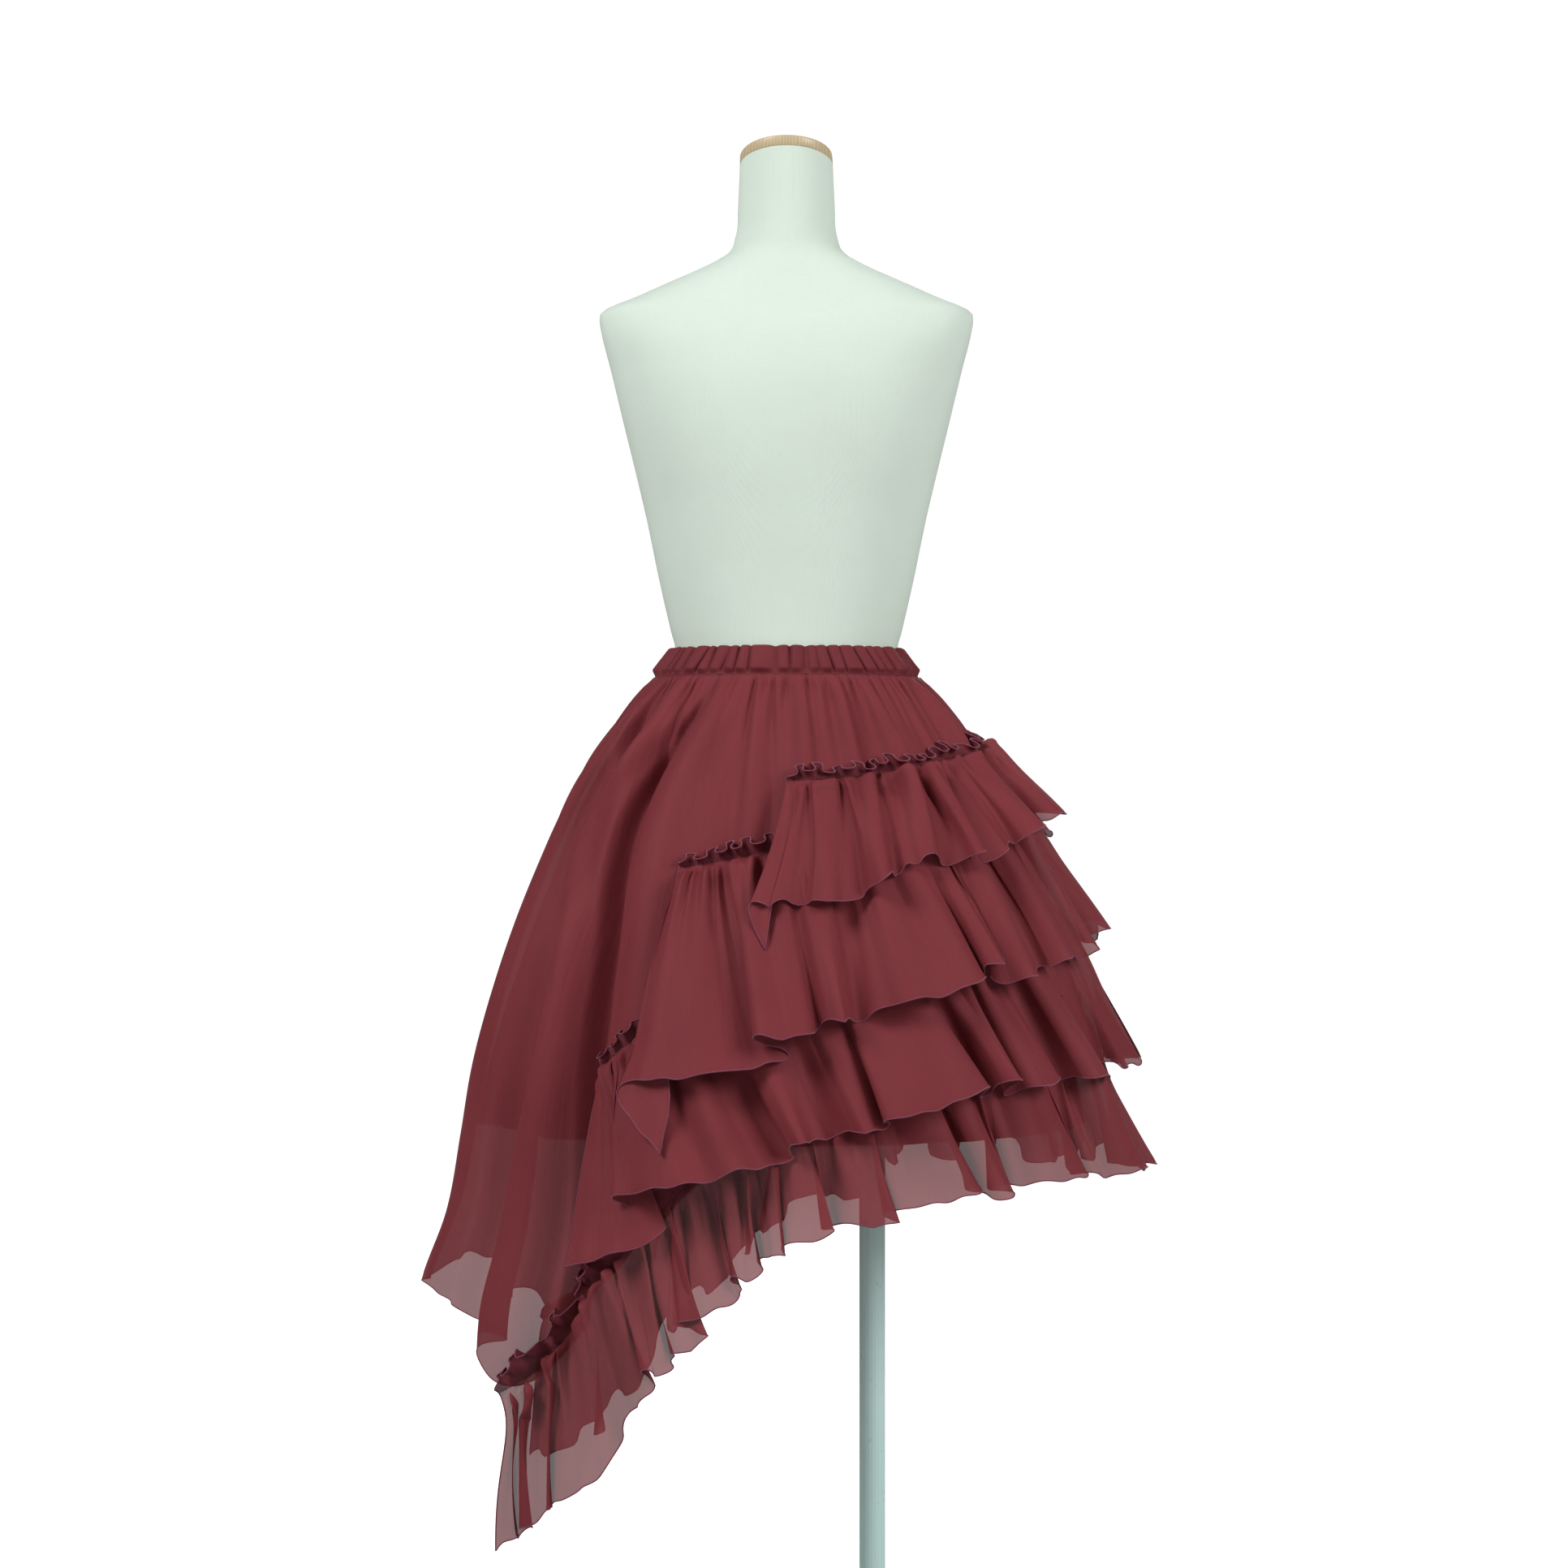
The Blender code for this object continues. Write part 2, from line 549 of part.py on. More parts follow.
def tier_path(tier, folds):
    """The hem of half a tier: rows of (x, y, z, turn, out, turn on the stitching)."""
    marks = []
    steps = []
    if tier["corner"]:
        turn, height, out = tier["corner"]
        marks.append((turn, height, out, tier["stitching"]["turn"][0]))
        steps.append(3)
    count = len(folds["left"])
    next_gathers = np.append(folds["gather"][1:], 90)
    for i in range(count):
        gather, left, right, tuck, z_left, z_right, z_tuck, out = (column[i] for column in folds.values())
        share = next_gathers[i] - gather
        marks.append((left, z_left, EDGE_OUT * out, gather))
        marks.append(((left + right) / 2, (z_left + z_right) / 2, out, gather + 0.30 * share))
        marks.append((right, z_right, FAR_EDGE_OUT * out, gather + 0.62 * share))
        marks.append((tuck, z_tuck, tier["tuck_out"], gather + 0.82 * share))
        steps += [1, 1, 2, 2]
    height, out = tier["side"]
    marks.append((90, height, out, 90))
    marks = np.array(marks)
    places = skirt_point(marks[:, 0], marks[:, 1], marks[:, 2])
    return hem_path(np.hstack([places, marks]), steps)


def tier_grid(tier, folds, front, shell_tree):
    """The mid surface of half a tier: the heading, the stitching and then the rows down to the hem."""
    path = tier_path(tier, folds)
    hem_turn, hem_height, hem_out, stitch_turn = path[:, 3:].T
    stitch_height = smooth(stitch_turn, tier["stitching"]["turn"], tier["stitching"]["height"])
    if front and tier["along_hem"]:
        stitch_height = stitch_height - front_drop(stitch_turn)
    phase = np.arange(len(path))
    wave = HEADING_WAVE * np.sin(phase * 2 * math.pi / HEADING_WAVE_STEPS)
    grid = []
    places = turns_in_half(stitch_turn, front)
    on_shell = seat(shell_tree, places, stitch_height)
    top_seat = seat(shell_tree, places, stitch_height + HEADING)
    grid.append(skirt_point(places, stitch_height + HEADING, top_seat + HEADING_OUT + wave))
    for share in TIER_ROWS:
        turn = stitch_turn + share * (hem_turn - stitch_turn)
        height = stitch_height + share * (hem_height - stitch_height)
        out = (1 - share) * on_shell + share * hem_out + PUFF * math.sin(math.pi * share)
        turn = turns_in_half(turn, front)
        grid.append(skirt_point(turn, height, np.maximum(out, seat(shell_tree, turn, height))))
    grid = open_side_seams(np.array(grid), front)
    return grid[:, ::-1] if front else grid


def turns_in_half(turn, front):
    """Turns given on the back half, carried to the front half if that is where they belong."""
    turn = np.minimum(turn, 90)
    return 180 - turn if front else turn


def seat(shell_tree, turns, heights):
    """How far out a stitched strip's mid surface lies, to clear the shell's facets between its columns."""
    clearance = LAP_GAP + CLOTH / 2
    order = np.arange(len(turns))
    margin = math.copysign(SEAT_MARGIN, turns[-1] - turns[0])
    levels = []
    for i in order:
        found = []
        beside = np.linspace(i - 1, i + 1, SEAT_SAMPLES)
        near_turns = np.interp(beside, order, turns) + np.linspace(-margin, margin, SEAT_SAMPLES)
        for turn, height in zip(near_turns, np.interp(beside, order, heights)):
            base = skirt_point(turn, height, 0.0)
            tip = skirt_point(turn, height, SEAT_REACH)
            start = Vector(tip)
            direction = Vector(base - tip).normalized()
            _, normal, _, distance = shell_tree.ray_cast(start, direction, 2 * SEAT_REACH)
            if normal is not None:
                facing = max(abs(direction.dot(normal)), LEAST_FACING)
                found.append(SEAT_REACH - distance + clearance / facing)
        step = math.radians(turns[min(i + 1, order[-1])] - turns[max(i - 1, 0)]) / 2
        sag = np.hypot(*base[:2]) * (1 - math.cos(step / 2))
        levels.append(max(found) + sag if found else -SEAT_REACH)
    return np.array(levels)


def surface_tree(*objects):
    """A search tree over the faces of the objects."""
    points = []
    faces = []
    for thing in objects:
        first = len(points)
        points += [vertex.co.copy() for vertex in thing.data.vertices]
        faces += [[first + i for i in face.vertices] for face in thing.data.polygons]
    return BVHTree.FromPolygons(points, faces)


def make_skirt():
    cloth("waistband", band_grid(), BAND_WALL, looped=True, level_top=True)
    shells = [cloth(f"shell_{side}", shell_grid(side == "front"), CLOTH, level_top=True) for side in ("back", "front")]
    for side in ("back", "front"):
        cloth(f"lining_{side}", lining_grid(side == "front"), CLOTH, level_top=True)
    shell_tree = surface_tree(*shells)
    for number, tier in TIERS.items():
        cloth(f"tier_{number}_back", tier_grid(tier, tier["folds"], False, shell_tree), CLOTH)
        folds = front_fold_rows(tier, number)
        cloth(f"tier_{number}_front", tier_grid(tier, folds, True, shell_tree), CLOTH)


# ---- Dress form and stand -----------------------------------------------------------------

def section_ring(height, width, back, front, square):
    """One ring of the form: a super-ellipse, deeper on one side than on the other."""
    ring = []
    for i in range(FORM_SIDES):
        angle = 2 * math.pi * i / FORM_SIDES
        east = math.copysign(abs(math.sin(angle)) ** (2 / square), math.sin(angle))
        south = math.copysign(abs(math.cos(angle)) ** (2 / square), math.cos(angle))
        ring.append((width * east, -(back if south > 0 else front) * south, height))
    return ring


def slanted(ring, middle):
    """The ring moved onto the neck's slanted plane, middle high at its centre."""
    return [(x, y, middle - NECK_SLOPE * y) for x, y, _ in ring]


def make_form():
    rings = [section_ring(*row) for row in zip(*FORM.values())]
    neck = section_ring(0, NECK_HALF, NECK_HALF, NECK_HALF, 2.0)
    rings.append(slanted(neck, NECK_TOP))
    torso = finish("form_torso", loft(rings), FORM_WHITE, 0.9)
    bore = bpy.data.objects.new("pole_bore", bpy.data.meshes.new("pole_bore"))
    floor = FORM["height"][0]
    bore_rings = turned(
        ((POLE_RADIUS + SEAM_GAP, floor - 0.02), (POLE_RADIUS + SEAM_GAP, floor + POLE_IN_FORM + SEAM_GAP)),
        POLE_SIDES, POLE_AT,
    )
    bore_mesh = loft(bore_rings)
    bore_mesh.to_mesh(bore.data)
    bore_mesh.free()
    bpy.context.scene.collection.objects.link(bore)
    bore.hide_render = True
    bore.display_type = "WIRE"
    cut = torso.modifiers.new("pole bore", "BOOLEAN")
    cut.operation = "DIFFERENCE"
    cut.solver = "EXACT"
    cut.object = bore

    low, high = NECK_TOP + SEAM_GAP, NECK_TOP + SEAM_GAP + CAP_THICKNESS
    profile = (
        (CAP_HALF, low),
        (CAP_HALF, high - CAP_ROUNDING),
        (CAP_HALF - 0.3 * CAP_ROUNDING, high - 0.3 * CAP_ROUNDING),
        (CAP_HALF - CAP_ROUNDING, high),
    )
    cap_rings = [slanted(ring, ring[0][2]) for ring in turned(profile, CAP_SIDES)]
    finish("form_neck_cap", loft(cap_rings), WOOD, 0.5)


def make_stand():
    bevel = BASE_BEVEL
    plate = (
        (BASE_RADIUS, 0.0),
        (BASE_RADIUS, BASE_THICKNESS - bevel),
        (BASE_RADIUS - bevel, BASE_THICKNESS),
    )
    finish("stand_base", loft(turned(plate, BASE_SIDES)), STEEL, 0.4, 1.0, 30.0)
    foot = BASE_THICKNESS + SEAM_GAP
    pole = ((POLE_RADIUS, foot), (POLE_RADIUS, FORM["height"][0] + POLE_IN_FORM))
    finish("stand_pole", loft(turned(pole, POLE_SIDES, POLE_AT)), STEEL, 0.35, 1.0)
    collar = bmesh.new()
    outline = (
        (POLE_RADIUS + SEAM_GAP, foot),
        (COLLAR_RADIUS, foot),
        (COLLAR_RADIUS, foot + COLLAR_HEIGHT - bevel),
        (COLLAR_RADIUS - bevel, foot + COLLAR_HEIGHT),
        (POLE_RADIUS + SEAM_GAP, foot + COLLAR_HEIGHT),
    )
    rings = [[collar.verts.new(point) for point in ring] for ring in turned(outline, POLE_SIDES, POLE_AT)]
    for low, high in zip(rings, rings[1:] + rings[:1]):
        for j in range(POLE_SIDES):
            k = (j + 1) % POLE_SIDES
            collar.faces.new((low[j], low[k], high[k], high[j]))
    finish("stand_collar", collar, STEEL, 0.4, 1.0, 30.0)


def main():
    for thing in list(bpy.data.objects):
        bpy.data.objects.remove(thing, do_unlink=True)
    make_skirt()
    make_form()
    make_stand()


main()
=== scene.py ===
import math

import bpy
import numpy as np
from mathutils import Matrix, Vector


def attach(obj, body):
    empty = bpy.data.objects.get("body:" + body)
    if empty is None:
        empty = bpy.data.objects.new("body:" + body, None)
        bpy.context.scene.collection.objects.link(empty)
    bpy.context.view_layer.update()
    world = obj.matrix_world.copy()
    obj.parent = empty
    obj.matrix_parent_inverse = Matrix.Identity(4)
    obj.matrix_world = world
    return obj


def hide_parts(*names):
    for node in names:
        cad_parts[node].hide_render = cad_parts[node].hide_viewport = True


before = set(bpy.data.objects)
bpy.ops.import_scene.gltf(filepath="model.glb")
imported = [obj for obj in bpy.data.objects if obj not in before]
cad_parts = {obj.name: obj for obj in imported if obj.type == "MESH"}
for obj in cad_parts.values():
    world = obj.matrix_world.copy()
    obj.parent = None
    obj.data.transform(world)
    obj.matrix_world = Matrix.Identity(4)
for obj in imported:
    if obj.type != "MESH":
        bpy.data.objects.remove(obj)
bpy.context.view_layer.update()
print("frame loaded:", len(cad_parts), "nodes")


def table(names, *rows):
    return dict(zip(names.split(), np.array(rows, float).T))


# ---- the skirt's own section, which every piece of cloth is measured from
skirtSection = table(
    "height longSide tierSide depth",
    (1.077, 0.1425, 0.1440, 0.113),
    (1.047, 0.168, 0.170, 0.135),
    (1.012, 0.193, 0.196, 0.155),
    (0.951, 0.226, 0.234, 0.184),
    (0.881, 0.255, 0.262, 0.208),
    (0.812, 0.281, 0.287, 0.229),
    (0.733, 0.305, 0.309, 0.248),
    (0.664, 0.321, 0.325, 0.262),
    (0.594, 0.331, 0.337, 0.272),
    (0.507, 0.344, 0.350, 0.282),
    (0.435, 0.366, 0.356, 0.292),
    (0.330, 0.372, 0.360, 0.298),
    (0.150, 0.372, 0.360, 0.298),
)


def smooth(x, xs, ys):
    # cubic through the points, with Catmull-Rom slopes
    xs = np.asarray(xs, float)
    ys = np.asarray(ys, float)
    slopes = np.gradient(ys, xs)
    x = np.clip(x, xs[0], xs[-1])
    i = np.clip(np.searchsorted(xs, x) - 1, 0, len(xs) - 2)
    width = xs[i + 1] - xs[i]
    s = (x - xs[i]) / width
    start = (1 + 2 * s) * (1 - s) ** 2 * ys[i] + s * (1 - s) ** 2 * width * slopes[i]
    end = s * s * (3 - 2 * s) * ys[i + 1] + s * s * (s - 1) * width * slopes[i + 1]
    return start + end


def sectionSize(column, height):
    return smooth(height, skirtSection["height"][::-1], skirtSection[column][::-1])


def skirtPoint(turn, height, out):
    angle = np.radians(turn)
    east = np.sin(angle)
    south = np.cos(angle)
    halfWidth = np.where(east < 0, sectionSize("longSide", height), sectionSize("tierSide", height))
    halfDepth = sectionSize("depth", height)
    normalX = east * halfDepth
    normalY = -south * halfWidth
    length = np.hypot(normalX, normalY)
    x = halfWidth * east + out * normalX / length
    y = -halfDepth * south + out * normalY / length
    return np.stack(np.broadcast_arrays(x, y, height), axis=-1)


def onceRound(turn):
    # the same turn, between -90 and 270
    return (np.asarray(turn, float) + 90) % 360 - 90


def awayFrom(turn, centre):
    # degrees from a centre, the short way round
    return (turn - centre + 180) % 360 - 180


def backTurn(turn):
    # the same place on the back half, for a turn on the mirrored front half
    turn = onceRound(turn)
    return np.where(turn > 90, 180 - turn, turn)


def evenly(count, whole=360.0):
    # as many places at even steps round a whole turn
    return np.arange(count) * whole / count


def bump(x):
    return np.where(np.abs(x) < 1, np.cos(np.pi * np.clip(x, -1, 1) / 2) ** 2, 0)


def wander(s, pitch, seed, uneven=1.0):
    # phase of a wave whose pitch is never quite the same
    rng = np.random.default_rng(seed)
    phase = 2 * np.pi * s / pitch
    for octave in (2.3, 3.9, 6.7):
        swing = uneven * rng.uniform(0.7, 1.1)
        phase = phase + swing * np.sin(2 * np.pi * s / (pitch * octave) + rng.uniform(0, 6.3))
    return phase


def roundPhase(turn, count, seed):
    # phase of so many uneven waves round the skirt, which meet where they started
    rng = np.random.default_rng(seed)
    angle = np.radians(turn)
    phase = count * angle
    for harmonic in (3, 5, 8, 13):
        swing = 0.28 * count / harmonic * rng.uniform(0.5, 1.0)
        phase = phase + swing * np.sin(harmonic * angle + rng.uniform(0, 6.3))
    return phase


def gathered(phase):
    # soft ridges with narrower valleys between them, from 0 to 1
    return (0.5 + 0.5 * np.sin(phase)) ** 0.75


def smoothStep(x):
    x = np.clip(x, 0, 1)
    return x * x * (3 - 2 * x)


def bridged(level, reach):
    # a line carried over dips that are narrower than the reach, which is in columns
    window = 2 * reach + 1
    highest = np.lib.stride_tricks.sliding_window_view(np.pad(level, 2 * reach, "edge"), window).max(axis=1)
    return np.convolve(highest, np.full(window, 1 / window), "valid")


def averaged(values, reach):
    # running mean over so many columns on each side
    return np.convolve(np.pad(values, reach, "edge"), np.full(2 * reach + 1, 1 / (2 * reach + 1)), "valid")


def creaseSet(first, last, pitch, reaches, seed):
    # uneven places for creases between first and last, with depth, reach and lean for each
    rng = np.random.default_rng(seed)
    count = int(round((last - first) / pitch))
    places = first + (np.arange(count) + 0.5 + rng.uniform(-0.42, 0.42, count)) * pitch
    depths = 0.25 + 0.75 * rng.uniform(0, 1, count) ** 1.2
    reach = reaches[0] + (reaches[1] - reaches[0]) * rng.uniform(0, 1, count) ** 2.2
    lean = rng.uniform(-1, 1, count)
    return np.stack([places, depths, reach, lean], 1)


def creaseDepth(places, shares, creases, widths, lean, around=None):
    # narrow slots that start at the seam, widen on the way down and run out; from 0 to 1
    pressed = 0.0
    for place, depth, reach, tilt in creases:
        away = places - place - lean * tilt * shares
        if around:
            away = (away + around / 2) % around - around / 2
        width = widths[0] + (widths[1] - widths[0]) * shares
        pressed = pressed + depth * np.exp(-(shares / reach) ** 2 - (np.abs(away) / width) ** 1.5)
    return 1 - np.exp(-1.6 * pressed)


# ---- meshes
def addObject(name, points, faces, material):
    mesh = bpy.data.meshes.new(name)
    mesh.from_pydata(np.reshape(points, (-1, 3)).tolist(), [], faces)
    mesh.shade_smooth()
    mesh.materials.append(material)
    made = bpy.data.objects.new(name, mesh)
    bpy.context.scene.collection.objects.link(made)
    return made


def addPiece(name, points, faces, material, uv=None, sharpOver=None):
    piece = addObject(name, points, faces, material)
    if uv is not None:
        piece.data.uv_layers.new(name="cut").data.foreach_set("uv", uv.ravel())
    if sharpOver:
        piece.data.set_sharp_from_angle(angle=math.radians(sharpOver))
    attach(piece, "root")
    return piece


def facesBetween(rows, count, looped, closed=False):
    # each face's row and column, and its corners, on rows of points; looped joins the ends of each row,
    # and closed joins the last row to the first
    spans = (rows if closed else rows - 1, count if looped else count - 1)
    i, j = np.meshgrid(*map(np.arange, spans), indexing="ij")
    nextRow = (i + 1) % rows * count
    nextColumn = (j + 1) % count
    return i, j, np.stack([i * count + j, i * count + nextColumn, nextRow + nextColumn, nextRow + j], -1)


def endCaps(rows, count):
    # one flat face over the first row of a looped grid, and one over the last
    return [list(range(count))[::-1], list(range((rows - 1) * count, rows * count))]


def closedRows(points):
    # the rows of a looped grid, with their first point again at the end
    return np.concatenate([points, points[:, :1]], axis=1)


def lengths(points):
    # running length along the last but one axis
    steps = np.linalg.norm(np.diff(points, axis=-2), axis=-1)
    return np.concatenate([np.zeros((*steps.shape[:-1], 1)), np.cumsum(steps, axis=-1)], axis=-1)


def gridMesh(name, points, material, looped=False, alongRow=-1):
    # a sheet of cloth, mapped in metres: u along one of its rows and v down it
    laid = closedRows(points) if looped else points
    down = lengths(laid.transpose(1, 0, 2)).mean(axis=0)
    uv = np.stack(np.meshgrid(lengths(laid[alongRow]), -down), -1)
    i, j, corners = facesBetween(*points.shape[:2], looped)
    faces = corners[..., [0, 3, 2, 1]].reshape(-1, 4).tolist()
    uvCorners = [uv[i, j], uv[i + 1, j], uv[i + 1, j + 1], uv[i, j + 1]]
    return addPiece(name, points, faces, material, np.stack(uvCorners, -2))


def unit(vectors):
    return vectors / (np.linalg.norm(vectors, axis=-1, keepdims=True) + 1e-12)


def cordMesh(name, path, radius, material, closed=False, sides=6):
    path = np.asarray(path, float)
    if closed:
        tangents = unit(np.roll(path, -1, axis=0) - np.roll(path, 1, axis=0))
    else:
        tangents = unit(np.gradient(path, axis=0))
    frames = []
    side = np.cross(tangents[0], (0.31, 0.25, 0.91))
    for tangent in tangents:
        side = unit(side - tangent * np.dot(side, tangent))
        frames.append((side, np.cross(tangent, side)))
    frames = np.array(frames)
    angles = evenly(sides, 2 * np.pi)
    around = np.stack([np.cos(angles), np.sin(angles)], 1)
    rings = path[:, None] + radius * (around @ frames)
    count = len(path)
    i, j, corners = facesBetween(count, sides, True, closed)
    faces = corners.reshape(-1, 4).tolist()
    if not closed:
        faces += endCaps(count, sides)
    run = lengths(np.vstack([path, path[:1]]) if closed else path)
    wrapped = [(run[i + k], (j + m) / sides) for k, m in ((0, 0), (0, 1), (1, 1), (1, 0))]
    uv = np.zeros((sum(map(len, faces)), 2))
    uv[:corners.size] = np.stack([np.stack(corner, -1) for corner in wrapped], -2).reshape(-1, 2)
    return addPiece(name, rings, faces, material, uv)


def stitchMesh(name, path, material, every=0.0048, share=0.62, radius=0.00032):
    # short thread stitches along a path, as one mesh of small four sided bars
    run = lengths(path)
    starts = np.arange(every, run[-1] - every, every)
    ends = np.stack([starts, starts + share * every], 1)
    places = np.stack([np.interp(ends, run, path[:, axis]) for axis in range(3)], -1)
    along = unit(places[:, 1] - places[:, 0])
    side = unit(np.cross(along, (0.0, 0.0, 1.0)))
    up = np.cross(side, along)
    ring = np.stack([side, up, -side, -up], 1) * radius
    verts = places[:, :, None, :] + ring[:, None, :, :]
    bar = [(k, (k + 1) % 4, 4 + (k + 1) % 4, 4 + k) for k in range(4)] + [(3, 2, 1, 0), (4, 5, 6, 7)]
    faces = np.array(bar)[None] + 8 * np.arange(len(starts))[:, None, None]
    return addPiece(name, verts, faces.reshape(-1, 4).tolist(), material)


def ringMesh(name, rings, material):
    # a closed round piece from rings of points, bottom to top, with crisp edges
    rings = np.array(rings)
    rows, count = rings.shape[:2]
    faces = facesBetween(rows, count, True)[2].reshape(-1, 4).tolist()
    faces += endCaps(rows, count)
    return addPiece(name, rings, faces, material, sharpOver=50)


# ---- small helpers for shader nodes
def addNode(tree, kind, **settings):
    node = tree.nodes.new("ShaderNode" + kind)
    for title, value in settings.items():
        setattr(node, title, value)
    return node


def plug(tree, socket, value):
    # sets a socket to a constant, or joins it to another node's output
    if isinstance(value, (int, float, tuple)):
        socket.default_value = value
    else:
        tree.links.new(value, socket)


def maths(tree, operation, *values, clamp=False):
    node = addNode(tree, "Math", operation=operation, use_clamp=clamp)
    for socket, value in zip(node.inputs, values):
        plug(tree, socket, value)
    return node.outputs[0]


def plus(tree, a, b):
    return maths(tree, "ADD", a, b)


def times(tree, a, b, clamp=False):
    return maths(tree, "MULTIPLY", a, b, clamp=clamp)


def above(tree, value, level, gain):
    # how far a value stands above a level, stretched and held between 0 and 1
    return times(tree, maths(tree, "SUBTRACT", value, level), gain, clamp=True)


def ridges(tree, run):
    # rounded ridges, one for each whole number along the run
    return maths(tree, "ABSOLUTE", maths(tree, "SINE", times(tree, run, math.pi)))


def mixColours(tree, factor, a, b):
    node = addNode(tree, "Mix", data_type="RGBA", blend_type="MIX")
    for socket, value in zip((node.inputs[0], node.inputs[6], node.inputs[7]), (factor, a, b)):
        plug(tree, socket, value)
    return node.outputs[2]


def noise(tree, vector, scale, detail, roughness=0.55):
    node = addNode(tree, "TexNoise")
    for title, value in zip(("Vector", "Scale", "Detail", "Roughness"), (vector, scale, detail, roughness)):
        plug(tree, node.inputs[title], value)
    return node.outputs["Fac"]


def stretched(tree, vector, scale):
    node = addNode(tree, "Mapping")
    plug(tree, node.inputs["Vector"], vector)
    plug(tree, node.inputs["Scale"], scale)
    return node.outputs["Vector"]


def axesOf(tree, vector):
    node = addNode(tree, "SeparateXYZ")
    plug(tree, node.inputs[0], vector)
    return node.outputs


def axesTimes(tree, vector, *factors):
    # a vector with each axis scaled by its own socket or number
    node = addNode(tree, "CombineXYZ")
    for socket, axis, factor in zip(node.inputs, axesOf(tree, vector), factors):
        plug(tree, socket, times(tree, axis, factor))
    return node.outputs[0]


# ---- shader groups, each built once
def newGroup(name, inputs, outputs):
    # None makes a vector socket, four numbers a colour and one number a value
    group = bpy.data.node_groups.new(name, "ShaderNodeTree")
    for title, value in inputs.items():
        kind = "Vector" if value is None else "Color" if isinstance(value, tuple) else "Float"
        socket = group.interface.new_socket(title, in_out="INPUT", socket_type="NodeSocket" + kind)
        if value is not None:
            socket.default_value = value
    for title in outputs:
        kind = "Color" if title == "Colour" else "Float"
        group.interface.new_socket(title, in_out="OUTPUT", socket_type="NodeSocket" + kind)
    entry = group.nodes.new("NodeGroupInput").outputs
    return group, entry, group.nodes.new("NodeGroupOutput").inputs


def makeWeaveGroup():
    # plain weave: warp and weft ridges that pass over and under each other, with slubs
    inputs = {"Vector": None, "Threads per metre": 2600.0, "Slub": 0.3}
    group, entry, leave = newGroup("plainWeave", inputs, ("Height", "Gap"))
    axes = axesOf(group, entry["Vector"])
    warp, weft = [ridges(group, times(group, axes[k], entry["Threads per metre"])) for k in (0, 1)]
    crossed = times(group, warp, weft)
    slub = noise(group, stretched(group, entry["Vector"], (240.0, 24.0, 24.0)), 1.0, 2.0)
    raised = times(group, slub, entry["Slub"])
    plug(group, leave["Height"], plus(group, times(group, crossed, 0.7), raised))
    plug(group, leave["Gap"], maths(group, "SUBTRACT", 1.0, crossed, clamp=True))
    return group


def makeToneGroup():
    # slow, uneven change of tone across a surface
    inputs = {"Vector": None, "Colour": (0.5, 0.5, 0.5, 1.0), "Deeper": (0.3, 0.3, 0.3, 1.0)}
    inputs.update({"Scale": 6.0, "Amount": 0.5})
    group, entry, leave = newGroup("slowTone", inputs, ("Colour", "Mask"))
    slow = noise(group, entry["Vector"], entry["Scale"], 3.0)
    mask = times(group, above(group, slow, 0.35, 3.0), entry["Amount"], clamp=True)
    plug(group, leave["Colour"], mixColours(group, mask, entry["Colour"], entry["Deeper"]))
    plug(group, leave["Mask"], mask)
    return group


def makeCreaseGroup():
    # long soft creases that run down the cloth
    inputs = {"Vector": None, "Across": 70.0, "Down": 7.0}
    group, entry, leave = newGroup("hangingCreases", inputs, ("Height",))
    place = axesTimes(group, entry["Vector"], entry["Across"], entry["Down"])
    plug(group, leave["Height"], noise(group, place, 1.0, 3.0, 0.5))
    return group


def makeScuffGroup():
    # drawn lines, faint spots and small scuffs of a handled metal surface
    inputs = {"Vector": None, "Lines across": 900.0, "Scuffs": 0.3}
    group, entry, leave = newGroup("handledMetal", inputs, ("Lines", "Scuff"))
    place = axesTimes(group, entry["Vector"], entry["Lines across"], entry["Lines across"], 6.0)
    plug(group, leave["Lines"], noise(group, place, 1.0, 2.0))
    spots = noise(group, entry["Vector"], 85.0, 5.0, 0.7)
    plug(group, leave["Scuff"], times(group, above(group, spots, 0.62, 9.0), entry["Scuffs"]))
    return group


weaveGroup = makeWeaveGroup()
toneGroup = makeToneGroup()
creaseGroup = makeCreaseGroup()
scuffGroup = makeScuffGroup()


def placeGroup(tree, group, vector, **values):
    node = addNode(tree, "Group", node_tree=group)
    plug(tree, node.inputs["Vector"], vector)
    for title, value in values.items():
        node.inputs[title.replace("_", " ")].default_value = value
    return node.outputs


def newMaterial(name, coordinates, **constants):
    material = bpy.data.materials.new(name)
    material.use_nodes = True
    tree = material.node_tree
    surface = tree.nodes["Principled BSDF"].inputs
    for title, value in constants.items():
        surface[title.replace("_", " ")].default_value = value
    return material, tree, surface, addNode(tree, "TexCoord").outputs[coordinates]


def addBumps(tree, surface, *layers):
    # layers are (height, strength, distance), the broadest first
    normal = None
    for height, strength, distance in layers:
        node = addNode(tree, "Bump")
        for title, value in (("Strength", strength), ("Distance", distance), ("Height", height)):
            plug(tree, node.inputs[title], value)
        if normal:
            plug(tree, node.inputs["Normal"], normal)
        normal = node.outputs["Normal"]
    plug(tree, surface["Normal"], normal)


# ---- materials of the cloth and its threads
chiffonLook = {
    "colour": (0.240, 0.036, 0.045, 1.0),
    "deeper": (0.180, 0.022, 0.030, 1.0),
    "threads": 2600.0,         # threads in a metre, each way
    "opacity": 0.905,
    "sheen": 0.03,
    "roughness": 0.68,
    "creases": 0.22,
}
casingLook = {
    **chiffonLook,
    "colour": (0.195, 0.027, 0.035, 1.0),
    "deeper": (0.120, 0.014, 0.020, 1.0),
    "opacity": 1.0,
}
